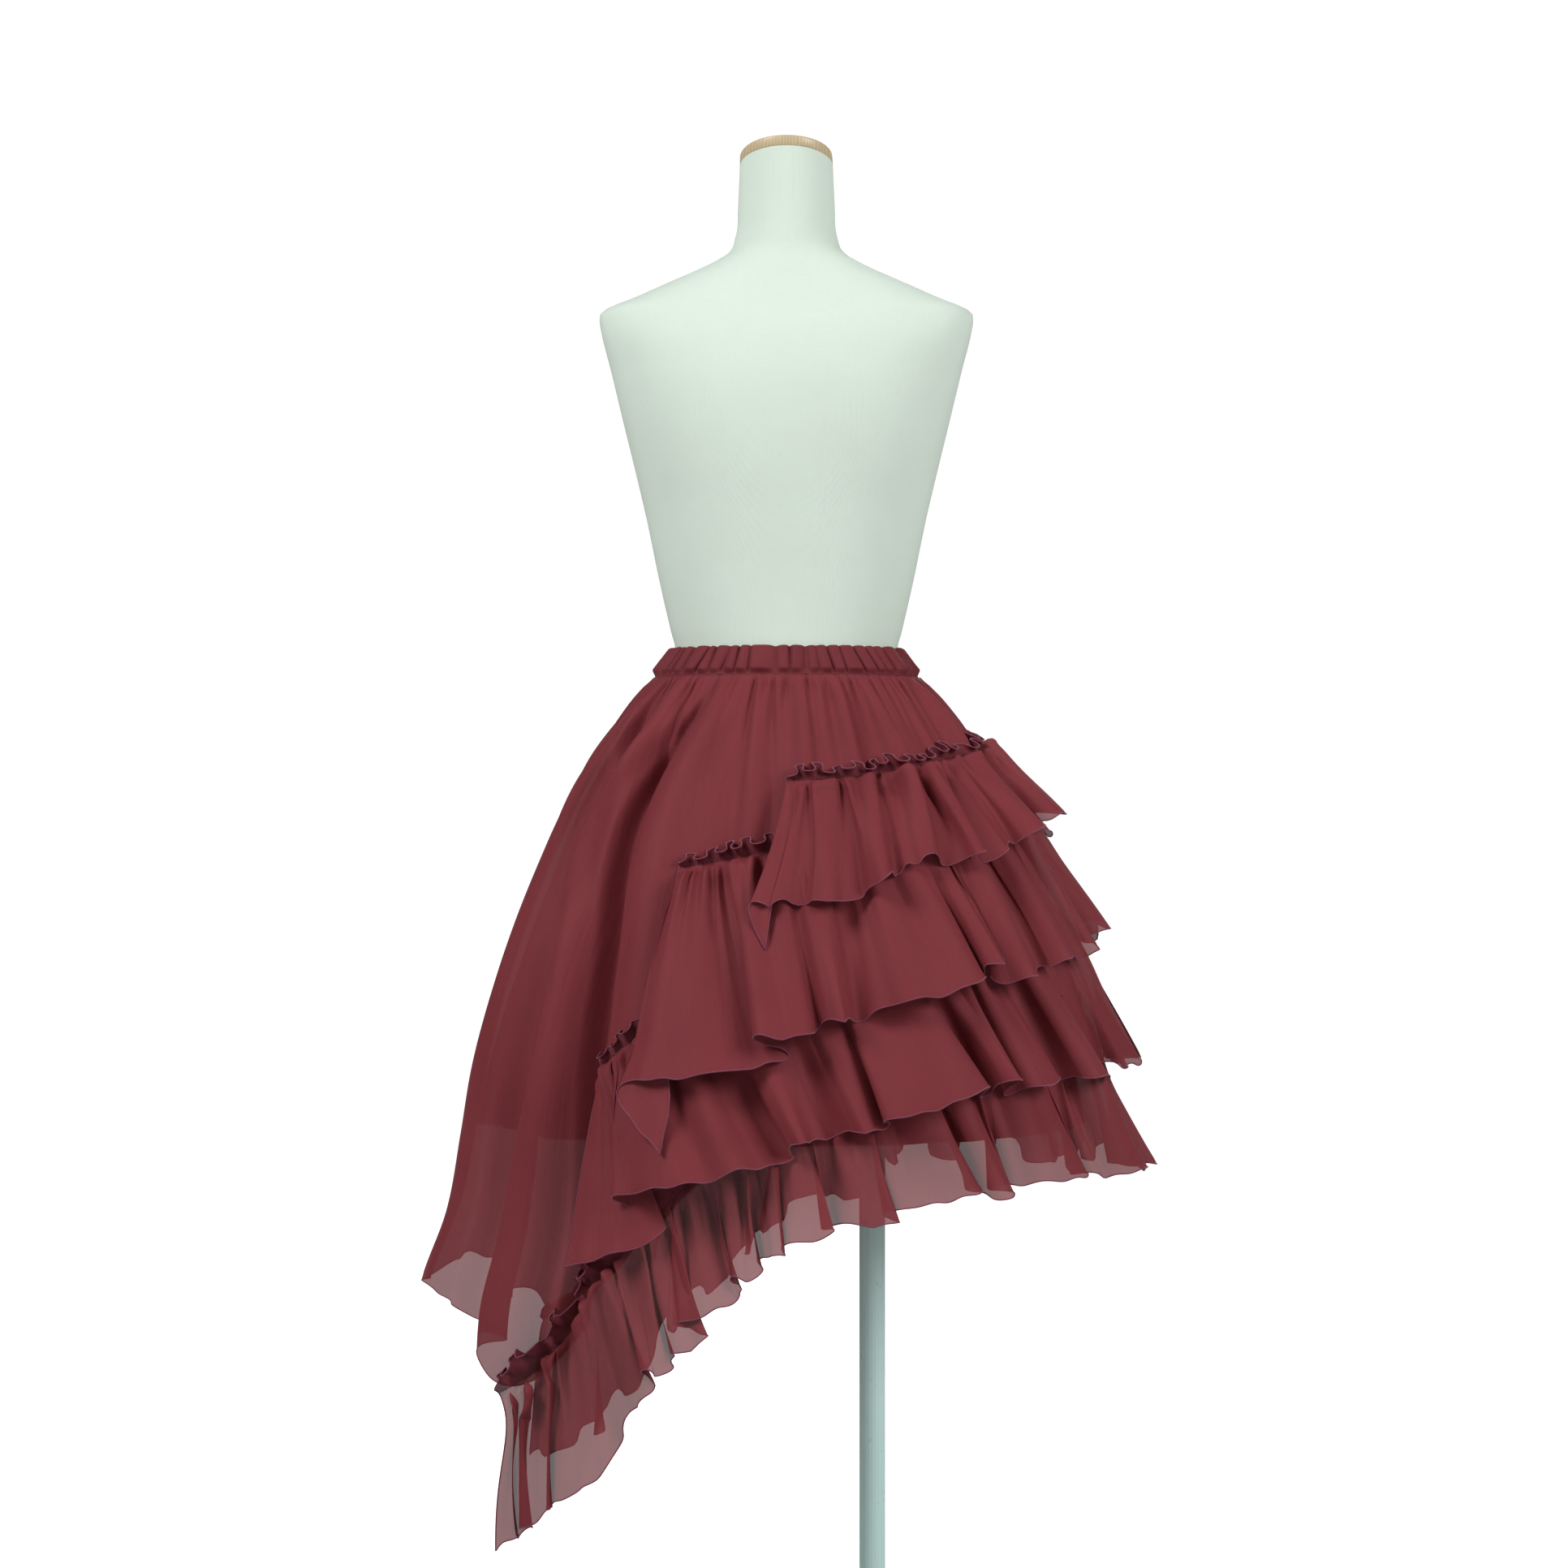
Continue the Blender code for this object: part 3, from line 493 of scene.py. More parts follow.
# dense gathers lie two and three deep, so they let less through; their darker colour is painted shade, for
# the curls that shade each other
headingPaintedShadeLook = {
    **chiffonLook,
    "colour": (0.165, 0.021, 0.032, 1.0),
    "deeper": (0.095, 0.010, 0.016, 1.0),
    "opacity": 0.97,
}
liningLook = {
    "colour": (0.215, 0.022, 0.034, 1.0), "deeper": (0.160, 0.014, 0.024, 1.0), "threads": 3400.0,
    "opacity": 1.0, "sheen": 0.05, "roughness": 0.70, "creases": 0.3,
}
hemThreadLook = {"colour": (0.275, 0.054, 0.105, 1.0), "deeper": (0.120, 0.018, 0.040, 1.0), "turns": 850.0}
gatherThreadLook = {
    **hemThreadLook, "colour": (0.150, 0.020, 0.034, 1.0), "deeper": (0.080, 0.010, 0.018, 1.0),
}


def makeCloth(name, look):
    material, tree, surface, place = newMaterial(
        name, "UV", Alpha=look["opacity"], Sheen_Weight=look["sheen"], Sheen_Roughness=0.45,
        Sheen_Tint=(1.0, 0.72, 0.74, 1.0), Specular_IOR_Level=0.24,
    )
    weave = placeGroup(tree, weaveGroup, place, Threads_per_metre=look["threads"], Slub=0.5)
    tone = placeGroup(
        tree, toneGroup, place, Colour=look["colour"], Deeper=look["deeper"], Scale=7.0, Amount=0.55,
    )
    crease = placeGroup(tree, creaseGroup, place, Across=85.0, Down=6.0)
    shaded = mixColours(tree, times(tree, weave["Gap"], 0.22), tone["Colour"], look["deeper"])
    plug(tree, surface["Base Color"], shaded)
    plug(tree, surface["Roughness"], plus(tree, times(tree, weave["Height"], 0.12), look["roughness"] - 0.06))
    addBumps(tree, surface, (crease["Height"], look["creases"], 0.004), (weave["Height"], 0.25, 0.00025))
    return material


def makeThread(name, look):
    # rolled edge, wrapped with close stitches
    material, tree, surface, place = newMaterial(name, "UV", Sheen_Weight=0.25, Specular_IOR_Level=0.25)
    axes = axesOf(tree, place)
    wrap = ridges(tree, plus(tree, times(tree, axes[0], look["turns"]), axes[1]))
    plug(tree, surface["Base Color"], mixColours(tree, wrap, look["deeper"], look["colour"]))
    plug(tree, surface["Roughness"], maths(tree, "SUBTRACT", 0.8, times(tree, wrap, 0.2)))
    addBumps(tree, surface, (wrap, 0.6, 0.0004))
    return material


chiffon = makeCloth("burgundyChiffon", chiffonLook)
casingChiffon = makeCloth("casingChiffon", casingLook)
# the heading's cloth, darker by painted shade
headingChiffonPaintedShade = makeCloth("headingChiffonPaintedShade", headingPaintedShadeLook)
liningCloth = makeCloth("burgundyLining", liningLook)
hemThread = makeThread("rolledHemThread", hemThreadLook)
gatherThread = makeThread("gatheringThread", gatherThreadLook)
print("cloth materials made")

# ---- the plain shell of the skirt
shellHem = table(
    "turn height",
    (-90, 0.435), (-75, 0.423), (-64, 0.408), (-57, 0.402), (-53.2, 0.404), (-50.7, 0.398), (-48.2, 0.384),
    (-46, 0.366), (-44, 0.360), (-41, 0.371), (-36, 0.413), (-31, 0.456), (-24.5, 0.507), (-14, 0.576),
    (-6, 0.621), (4, 0.664), (16, 0.692), (30, 0.708), (60, 0.714), (90, 0.710),
)
# the hidden front's hem hangs lower than the back's by this much, at each mirrored turn
frontDrop = table(
    "turn drop",
    (-90, 0.0), (-80, -0.020), (-68, -0.022), (-60, 0.015), (-55, 0.020), (-48, 0.0), (-40, 0.015),
    (-34, 0.035), (-25, 0.040), (-14, 0.055), (-3, 0.045), (11, 0.040), (20, 0.018), (30, 0.015),
    (60, 0.010), (90, 0.0),
)
# large folds of the plain panel: their turns at the waist, below it, half way and at the hem
panelFolds = table(
    "top high mid low riseTop riseLow spread",
    (-62, -77, -79, -86, 0.004, 0.024, 9.0),
    (-52, -67, -62, -65, -0.002, -0.024, 7.0),
    (-37, -58, -50, -48, 0.005, 0.026, 8.0),
    (-29.8, -43.0, -39.6, -35.8, -0.009, -0.030, 4.0),
    (-20, -33, -29, -27, 0.006, 0.014, 9.0),
)
shell = {
    "seam": 1.0766,
    "columns": 1200,
    "rows": 80,
    "foldHeights": (0.44, 0.79, 0.93, 1.06),
    "foldGrowth": 0.6,         # how soon the folds reach their full rise on the way down
    "foldStart": 0.045,        # below the seam, where the folds have their full rise
    "softFoldTurn": 16.0,
    "softFoldRise": 0.0035,
    "frontShift": 5.0,
    "frontScale": 0.85,
    # gathers that start at the seam: how many go round, their rise, how far down they reach and fill out
    "gathers": ((38, 0.0045, 0.08, 0.008), (23, 0.0085, 0.22, 0.025), (13, 0.0120, 0.80, 0.060)),
    # creases from the seam: pitch in degrees, least and greatest reach, widths at the seam and 0.3 m down
    "creases": (5.2, (0.02, 0.36), (0.70, 3.0)),
    "creaseDepth": 0.0080,
    "groove": 0.010,           # depth below the seam over which the gathers let go
    # two places where a crest panel swings over its neighbour and the cloth doubles back
    "laps": ((-50.7, 2.5, 4.0), (-122.5, 3.0, 4.4)),
    "lapStart": 0.76,
    "lapFull": 0.50,
    "hemRipple": 0.0022,
    "flutter": 0.0026,
    "hemCord": 0.0006,
}


def hiddenDrop(turn):
    # how much lower the hidden front's hem hangs, at any turn
    return np.where(onceRound(turn) > 90, smooth(backTurn(turn), frontDrop["turn"], frontDrop["drop"]), 0)


def foldRise(turn, height):
    turn = onceRound(turn)
    inFront = turn > 90
    place = np.where(inFront, 180 - turn + shell["frontShift"], turn)
    low, _, _, top = shell["foldHeights"]
    down = np.clip((top - height) / (top - low), 0, 1) ** shell["foldGrowth"]
    rise = 0.0
    for i in range(len(panelFolds["top"])):
        marks = [panelFolds[name][i] for name in ("low", "mid", "high", "top")]
        centre = smooth(height, shell["foldHeights"], marks)
        size = panelFolds["riseTop"][i] * (1 - down) + panelFolds["riseLow"][i] * down
        rise = rise + size * bump((place - centre) / panelFolds["spread"][i])
    underTiers = np.clip((place + 22) / 16, 0, 1)
    rise = rise + underTiers * shell["softFoldRise"] * np.sin(2 * np.pi * place / shell["softFoldTurn"])
    fromSeam = np.clip((shell["seam"] - height) / shell["foldStart"], 0, 1)
    return rise * fromSeam * np.where(inFront, shell["frontScale"], 1)


shellCreases = creaseSet(-90, 270, shell["creases"][0], shell["creases"][1], 21)


def seamGathers(turn, height):
    # small folds let out of the waist seam, which fade and join on the way down
    below = np.clip(shell["seam"] - height, 0, 1)
    rise = 0.0
    for layer, (count, size, reach, full) in enumerate(shell["gathers"]):
        drift = 1.6 * np.sin(np.radians(turn) * 3 + layer) * below / 0.3
        ridge = gathered(roundPhase(turn + drift, count, 40 + layer)) - 0.50
        variety = 0.70 + 0.30 * np.sin(roundPhase(turn, 7, 80 + layer))
        rise = rise + size * variety * ridge * smoothStep(below / full) * np.exp(-(below / reach) ** 1.3)
    widths = shell["creases"][2]
    slots = creaseDepth(turn, below, shellCreases, (widths[0], widths[0] + widths[1] / 0.3), 12.0, 360)
    rise = rise - shell["creaseDepth"] * slots
    return rise * (0.15 + 0.85 * smoothStep(below / shell["groove"]))


def hemHeight(turn):
    ripple = shell["hemRipple"] * np.sin(roundPhase(turn, 46, 3))
    return smooth(backTurn(turn), shellHem["turn"], shellHem["height"]) - hiddenDrop(turn) + ripple


def shellRise(turn, height):
    # how far the shell's surface stands out of its section
    down = np.clip((shell["seam"] - height) / (shell["seam"] - hemHeight(turn)), 0, 1)
    flutter = shell["flutter"] * np.sin(roundPhase(turn, 38, 9)) * down ** 5
    return foldRise(turn, height) + seamGathers(turn, height) + flutter


def lapShift(turn, height):
    # how far round the cloth swings where two panels lap
    shift = 0.0
    grown = smoothStep((shell["lapStart"] - height) / (shell["lapStart"] - shell["lapFull"]))
    for centre, spread, swing in shell["laps"]:
        away = awayFrom(np.asarray(turn, float), centre) / spread
        shift = shift - swing * away * np.exp(0.5 - 0.5 * away ** 2) * grown
    return shift


def underLap(turn):
    # which part of the cloth lies at a turn, beside the lap of the back
    centre, spread, _ = shell["laps"][0]
    cloth = np.linspace(centre + spread, centre + 14, 80)
    shown = cloth + lapShift(cloth, shell["lapFull"])
    return np.where((turn > shown[0]) & (turn < shown[-1]), np.interp(turn, shown, cloth), turn)


def shellGrid():
    turns = evenly(shell["columns"]) - 90
    share = np.linspace(0, 1, shell["rows"]) ** 1.15
    heights = shell["seam"] + share[:, None] * (hemHeight(turns) - shell["seam"])
    return skirtPoint(turns + lapShift(turns, heights), heights, shellRise(turns, heights))


shellPoints = shellGrid()
shellCloth = gridMesh("shellCloth", shellPoints, chiffon, looped=True)
shellHemCord = cordMesh("shellHemCord", shellPoints[-1], shell["hemCord"], hemThread, closed=True)
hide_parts("shell_back", "shell_front")
print("shell made:", len(shellCloth.data.polygons), "faces")

# ---- lining, shorter and narrower, with a level hem
lining = {
    "hem": 0.6035, "columns": 360, "rows": 40, "follows": 0.95, "ripple": 0.0016, "cord": 0.0005,
    "inset": table("height inset", (1.077, 0.0045), (1.047, 0.010), (0.951, 0.018), (0.5, 0.018)),
}


def liningGrid():
    turns = evenly(lining["columns"]) - 90
    heights = np.linspace(shell["seam"], lining["hem"], lining["rows"])[:, None] + 0 * turns
    inset = smooth(heights, lining["inset"]["height"][::-1], lining["inset"]["inset"][::-1])
    down = np.linspace(0, 1, lining["rows"])[:, None]
    ripple = lining["ripple"] * np.sin(roundPhase(turns, 34, 17)) * down
    return skirtPoint(turns, heights, lining["follows"] * foldRise(turns, heights) - inset + ripple)


liningPoints = liningGrid()
liningPiece = gridMesh("liningCloth", liningPoints, liningCloth, looped=True)
liningHem = cordMesh("liningHemCord", liningPoints[-1], lining["cord"], gatherThread, closed=True)
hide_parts("lining_back", "lining_front")
print("lining made")

# ---- waistband: a gathered casing round an elastic
band = {
    "creases": 50,
    "columns": 1296,
    "wall": 0.0011,
    "puff": 0.0084,            # how far the cloth swells between two creases
    "lean": 2.0,               # most that a crease leans between the two edges, in degrees
    "widths": (0.8, 1.9),      # half widths of the creases, in degrees
    "slack": 0.0007,
    "lift": 0.0017,            # how much higher the top edge stands on a puff
    "scallop": 0.0008,         # and how much lower the bottom edge hangs
    "seamScale": 1.0035,       # the stitches lie this much outside the bottom edge
    "outline": table(
        "height width depth", (1.0774, 0.1410, 0.1118), (1.0940, 0.1300, 0.1005), (1.1070, 0.1208, 0.0913),
    ),
}


def casingCreases():
    rng = np.random.default_rng(5)
    count = band["creases"]
    places = (np.arange(count) + rng.uniform(-0.36, 0.36, count)) * 360.0 / count
    low = rng.uniform(0.5, 1.3, count)
    high = rng.uniform(0.5, 1.3, count)
    lean = rng.uniform(-1, 1, count) * band["lean"]
    width = rng.uniform(*band["widths"], count)
    return np.stack([places, low, high, lean, width], 1)


def casingSwell(turns, level, creases):
    # 1 on a full puff and 0 at the bottom of a deep crease
    pressed = 0.0
    for place, low, high, lean, width in creases:
        away = awayFrom(turns, place + lean * (level - 0.5))
        pressed = pressed + (low + (high - low) * level) * np.exp(-(np.abs(away) / width) ** 1.25)
    return 1 - np.clip(pressed, 0, 1)


def bandGrid():
    turns = evenly(band["columns"])
    angle = np.radians(turns)
    creases = casingCreases()
    wall = band["wall"]
    outline = band["outline"]
    low, high = outline["height"][0], outline["height"][-1]
    inside = [(h, -wall) for h in np.linspace(low, high - 0.0008, 6)]
    over = [(high + 0.0004, -0.5 * wall), (high + 0.0008, 0.3 * wall)]
    outside = [(h, wall) for h in np.linspace(high - 0.0002, low, 26)]
    rows = []
    for height, out in inside + over + outside:
        outer = smoothStep((out + wall) / (2 * wall))
        level = np.clip((height - low) / (high - low), 0, 1)
        swell = casingSwell(turns, level, creases)
        sides = smoothStep(level / 0.28) * (1 - 0.40 * level)
        slack = band["slack"] * np.sin(roundPhase(turns, 23, 12) + 3 * level)
        rise = out + outer * (sides * (band["puff"] * swell + slack) - 0.8 * wall)
        width = rise + np.interp(height, outline["height"], outline["width"])
        depth = rise + np.interp(height, outline["height"], outline["depth"])
        lift = band["lift"] * (swell - 0.6) * smoothStep((level - 0.6) / 0.4)
        scallop = -band["scallop"] * swell * outer * smoothStep((0.2 - level) / 0.2)
        rows.append(np.stack([width * np.sin(angle), -depth * np.cos(angle), height + lift + scallop], -1))
    return np.array(rows)


bandPoints = bandGrid()
waistCasing = gridMesh("waistCasing", bandPoints, casingChiffon, looped=True, alongRow=14)
seamLine = (bandPoints[-1, ::2] - (0.0, 0.0, 0.0002)) * (band["seamScale"], band["seamScale"], 1.0)
casingStitches = stitchMesh("casingStitches", seamLine, gatherThread, every=0.0034)
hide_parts("waistband")
print("waistband made")

# ---- tiers
# A fold starts at "gather" on the stitching; its crest panel hangs from "left" to "right", "out" proud
# of the skirt; then the cloth turns back at "tuck", under the next fold. The z columns are the hem's
# heights. "corner" is where the strip's free end hangs and "side" is the hem at the tiered side.
# "hang" is the pitch of the hanging folds along the hem, their rise and how much of it fades by the hem;
# "frill" is the heading's width, how far its curls lean, their pitch and their sideways swing, and the
# tier above covers the heading from the turn "openTo" onwards.
foldNames = "gather left right tuck zLeft zRight zTuck out"
tiers = {
    1: {
        "stitching": table("turn height", (0, 0.966), (16.5, 0.970), (37.7, 0.981), (61, 0.994), (90, 1.006)),
        "folds": table(
            foldNames,
            (0.8, -7.2, 0.4, 2.5, 0.845, 0.849, 0.845, 0.046),
            (6.5, 4.0, 11.8, 15.0, 0.849, 0.850, 0.850, 0.052),
            (16.5, 15.8, 20.6, 22.6, 0.863, 0.875, 0.873, 0.056),
            (25.9, 24.0, 30.3, 33.8, 0.885, 0.892, 0.881, 0.046),
            (36.5, 37.0, 42.0, 41.2, 0.889, 0.896, 0.886, 0.058),
            (43.5, 43.2, 55.1, 56.9, 0.884, 0.906, 0.901, 0.046),
            (54.0, 58.0, 66.5, 70.0, 0.909, 0.921, 0.922, 0.052),
            (70.0, 74.0, 84.0, 87.0, 0.926, 0.934, 0.936, 0.056),
        ),
        "corner": (-4.0, 0.798, 0.034),
        "side": (0.938, 0.054),
        "tuckOut": 0.028,
        "frontFolds": 6,
        "hang": (0.100, 0.0210, 0.35),
        "frill": (0.0180, 1.45, 0.0200, 0.0024),
        "alongHem": False,
        "openTo": 100,
    },
    2: {
        "stitching": table(
            "turn height",
            (-24.5, 0.878), (-10, 0.890), (3, 0.904), (12.4, 0.914), (32, 0.932), (56, 0.944), (90, 0.950),
        ),
        "folds": table(
            foldNames,
            (-23.6, -27.5, -3.2, 0.4, 0.663, 0.691, 0.696, 0.061),
            (-10.1, -4.8, 4.1, 5.8, 0.715, 0.720, 0.725, 0.068),
            (2.0, 7.1, 11.3, 13.0, 0.732, 0.734, 0.730, 0.062),
            (12.4, 16.1, 35.0, 37.3, 0.744, 0.767, 0.768, 0.062),
            (31.0, 36.5, 41.0, 39.0, 0.783, 0.788, 0.770, 0.064),
            (38.5, 40.6, 49.3, 52.6, 0.763, 0.771, 0.777, 0.050),
            (48.0, 53.6, 61.0, 62.5, 0.779, 0.791, 0.786, 0.054),
            (60.0, 65.0, 75.0, 78.0, 0.786, 0.798, 0.800, 0.058),
            (74.0, 81.0, 86.5, 88.0, 0.806, 0.815, 0.817, 0.060),
        ),
        "corner": (-18.9, 0.602, 0.060),
        "side": (0.8186, 0.057),
        "tuckOut": 0.030,
        "frontFolds": 8,
        "hang": (0.125, 0.0210, 0.55),
        "frill": (0.0180, 1.45, 0.0200, 0.0024),
        "alongHem": False,
        "openTo": -3,
    },
    3: {
        "stitching": table(
            "turn height",
            (-36.8, 0.668), (-33.3, 0.686), (-23, 0.725), (-12.5, 0.765), (-1.5, 0.788), (8, 0.802),
            (26.6, 0.822), (50, 0.832), (90, 0.838),
        ),
        "folds": table(
            foldNames,
            (-36.6, -35.4, -21.3, -19.6, 0.484, 0.515, 0.528, 0.046),
            (-31.0, -27.1, -4.3, 1.1, 0.557, 0.590, 0.597, 0.060),
            (-13.0, 0.2, 4.0, 7.5, 0.610, 0.616, 0.616, 0.054),
            (-1.5, 9.4, 14.6, 16.8, 0.623, 0.625, 0.625, 0.050),
            (8.0, 15.4, 32.4, 35.8, 0.635, 0.660, 0.653, 0.062),
            (26.6, 36.8, 40.4, 39.2, 0.669, 0.670, 0.651, 0.062),
            (34.0, 41.5, 51.9, 53.0, 0.658, 0.668, 0.660, 0.050),
            (46.0, 56.0, 70.0, 74.0, 0.664, 0.668, 0.668, 0.056),
            (66.0, 77.0, 86.0, 88.0, 0.669, 0.671, 0.671, 0.060),
        ),
        "corner": None,
        "side": (0.6724, 0.060),
        "tuckOut": 0.018,
        "frontFolds": 8,
        "hang": (0.110, 0.0210, 0.45),
        "frill": (0.0180, 1.45, 0.0200, 0.0024),
        "alongHem": False,
        "openTo": -27,
    },
    4: {
        "stitching": table(
            "turn height",
            (-47, 0.352), (-45, 0.359), (-41, 0.380), (-36, 0.422), (-31, 0.465), (-24.5, 0.516),
            (-14, 0.584), (-6, 0.629), (4, 0.672), (16, 0.700), (30, 0.716), (60, 0.722), (90, 0.718),
        ),
        "folds": table(
            foldNames,
            (-46.9, -47.5, -43.2, -45.6, 0.195, 0.212, 0.207, 0.034),
            (-44.6, -44.3, -40.4, -43.0, 0.209, 0.224, 0.218, 0.024),
            (-42.8, -41.8, -36.6, -38.9, 0.222, 0.246, 0.240, 0.032),
            (-37.6, -33.8, -27.6, -25.1, 0.260, 0.284, 0.320, 0.040),
            (-30.6, -24.1, -20.4, -20.2, 0.345, 0.366, 0.376, 0.024),
            (-27.2, -21.1, -16.5, -17.2, 0.392, 0.391, 0.402, 0.044),
            (-22.6, -16.0, -11.3, -17.0, 0.409, 0.426, 0.433, 0.046),
            (-18.4, -15.8, -6.2, -8.1, 0.439, 0.469, 0.475, 0.044),
            (-11.6, -8.4, -3.9, -4.4, 0.483, 0.485, 0.497, 0.042),
            (-6.4, -3.2, -0.2, -0.8, 0.503, 0.505, 0.508, 0.039),
            (-2.4, 0.3, 7.4, 5.8, 0.515, 0.527, 0.528, 0.041),
            (5.6, 9.9, 17.1, 15.6, 0.533, 0.534, 0.537, 0.039),
            (14.0, 17.8, 32.0, 30.6, 0.548, 0.561, 0.562, 0.042),
            (26.0, 32.2, 37.3, 35.6, 0.554, 0.556, 0.560, 0.052),
            (38.0, 38.4, 57.0, 55.6, 0.564, 0.566, 0.566, 0.040),
            (58.0, 58.4, 80.0, 83.0, 0.566, 0.560, 0.560, 0.052),
        ),
        "corner": None,
        "side": (0.5567, 0.054),
        "tuckOut": 0.008,
        "frontFolds": 10,
        "hang": (0.105, 0.0190, 0.35),
        "frill": (0.0240, 1.50, 0.0260, 0.0044),
        "alongHem": True,
        "openTo": -24,
    },
}
ruffle = {
    "step": 0.0018,            # length of hem between two columns of the grid
    "rows": 36,
    "radius": 0.33,            # of the skirt, about half way down
    "edgeOut": 0.78,           # a fold's near edge, as a share of its crest
    "farEdgeOut": 0.74,
    "frontWidths": (0.56, 0.16),
    "frontLap": (1.03, 0.93),
    "frontStep": 0.011,        # the hidden folds' hems lie higher and lower by this much
    "clearance": 0.0009,
    "puff": 0.004,
    "shoulder": 0.0080,        # how far the cloth springs out just under its stitching
    "springs": 0.07,           # share of the drop in which it does
    # creases from the stitching: pitch along the hem, least and greatest reach, widths at top and hem
    "creases": (0.050, (0.18, 1.40), (0.0080, 0.0260)),
    "creaseDepth": (0.0160, 0.0200),
    "creaseShare": (0.65, 0.90, 1.0, 1.0),    # how much of it each tier takes
    "puffs": (0.046, 0.0080, 0.34),           # small ones under the stitching: pitch, rise, reach
    "flutter": (0.060, 0.0022),               # of the cloth at the hem: pitch, rise
    "ripple": (0.045, 0.0012),                # of the hem itself, up and down
    "frillRows": 9,
    "cord": 0.0007,
    "flare": (1.25, 1.25, 1.25, 1.70),        # how late on the way down each tier swings out
    # where a free end swings in: how many degrees, at what share of the drop, how far along
    "bends": {2: (1.7, 0.80, 0.10), 4: (2.6, 0.20, 0.13)},
    "frontSteps": (0.0085, 0.090),            # small steps in the hidden folds' hem: height, pitch
}


def frontFoldTable(tier, number):
    # the hidden half has even pitches with their own rhythm, on the back hem's line
    folds = tier["folds"]
    lineTurn = np.concatenate([np.stack([folds["left"], folds["right"]], 1).ravel(), [90]])
    lineHeight = np.concatenate([np.stack([folds["zLeft"], folds["zRight"]], 1).ravel(), [tier["side"][0]]])
    order = np.argsort(lineTurn)
    count = tier["frontFolds"]
    first = folds["left"][0]
    pitch = (88 - first) / count
    mean, swing = ruffle["frontWidths"]
    rows = []
    for i in range(count):
        left = first + pitch * i
        right = left + pitch * (mean + swing * math.sin(2.4 * i + number))
        tuck = left + pitch * ruffle["frontLap"][i % 2] if i < count - 1 else left + pitch
        heights = np.interp((left, right, tuck), lineTurn[order], lineHeight[order])
        if tier["alongHem"]:
            heights = heights - smooth(np.array((left, right, tuck)), frontDrop["turn"], frontDrop["drop"])
        heights = heights + ruffle["frontStep"] * math.sin(1.9 * i + number) * np.array((1.0, 0.9, 0.1))
        gather = folds["gather"][0] + (86 - folds["gather"][0]) * i / count
        out = folds["out"].mean() * (1 + 0.08 * math.sin(1.7 * i + number))
        rows.append((gather, left, right, tuck, *heights, out))
    return table(foldNames, *rows)


def halfMarks(tier, folds):
    # the hem of half a tier: rows of turn, height, out and the turn on the stitching
    marks = []
    if tier["corner"]:
        marks.append((*tier["corner"], tier["stitching"]["turn"][0]))
    nextGathers = np.append(folds["gather"][1:], 90)
    for i in range(len(folds["left"])):
        gather, left, right, tuck, zLeft, zRight, zTuck, out = (column[i] for column in folds.values())
        share = nextGathers[i] - gather
        marks.append((left, zLeft, ruffle["edgeOut"] * out, gather))
        marks.append(((left + right) / 2, (zLeft + zRight) / 2, out, gather + 0.30 * share))
        marks.append((right, zRight, ruffle["farEdgeOut"] * out, gather + 0.62 * share))
        marks.append((tuck, zTuck, tier["tuckOut"], gather + 0.82 * share))
    return marks


def tierMarks(tier, number):
    back = halfMarks(tier, tier["folds"])
    front = halfMarks(tier, frontFoldTable(tier, number))
    side = (90, *tier["side"], 90)
    mirrored = [(180 - turn, height, out, 180 - gather) for turn, height, out, gather in reversed(front)]
    return np.array(back + [side] + mirrored)


def between(t, start, end, a, b):
    # in a straight line from a at the start to b at the end
    return ((end - t) * a + (t - start) * b) / (end - start)


def hemPath(marks, step):
    # centripetal Catmull-Rom through the marks, then evened out along its length
    rows = np.hstack([skirtPoint(marks[:, 0], marks[:, 1], marks[:, 2]), marks])
    ends = np.vstack([2 * rows[0] - rows[1], rows, 2 * rows[-1] - rows[-2]])
    path = []
    for i in range(len(rows) - 1):
        points = ends[i:i + 4]
        apart = np.maximum(np.linalg.norm(np.diff(points[:, :3], axis=0), axis=1), 1e-6)
        knots = np.append(0.0, np.cumsum(apart ** 0.5))
        for t in np.linspace(knots[1], knots[2], 24, endpoint=False):
            three = [between(t, knots[k], knots[k + 1], points[k], points[k + 1]) for k in range(3)]
            two = [between(t, knots[k], knots[k + 2], three[k], three[k + 1]) for k in range(2)]
            path.append(between(t, knots[1], knots[2], *two))
    path.append(rows[-1])
    path = np.array(path)
    run = lengths(skirtPoint(path[:, 3], path[:, 4], path[:, 5]))
    even = np.linspace(0, run[-1], max(int(run[-1] / step), 8))
    return even, np.stack([np.interp(even, run, path[:, k]) for k in range(3, 7)], 1)


def seat(turns, heights, sewn=False):
    # how far out the shell beneath lies; cloth that isn't sewn to it may hang inside below its hem
    levels = []
    turns = underLap(turns)
    for aside in (-0.5, 0.0, 0.5):
        level = shellRise(turns + aside, heights)
        if not sewn:
            level = np.where(heights > hemHeight(turns + aside) - 0.004, level, -0.2)
        levels.append(level)
    return np.max(levels, axis=0) + ruffle["clearance"]


def surfaceNormals(points):
    return unit(np.cross(np.gradient(points, axis=0), np.gradient(points, axis=1)))


def bent(share, peak):
    # 1 at the peak and 0 at both ends
    return math.sin(math.pi * share ** (math.log(0.5) / math.log(peak))) ** 2


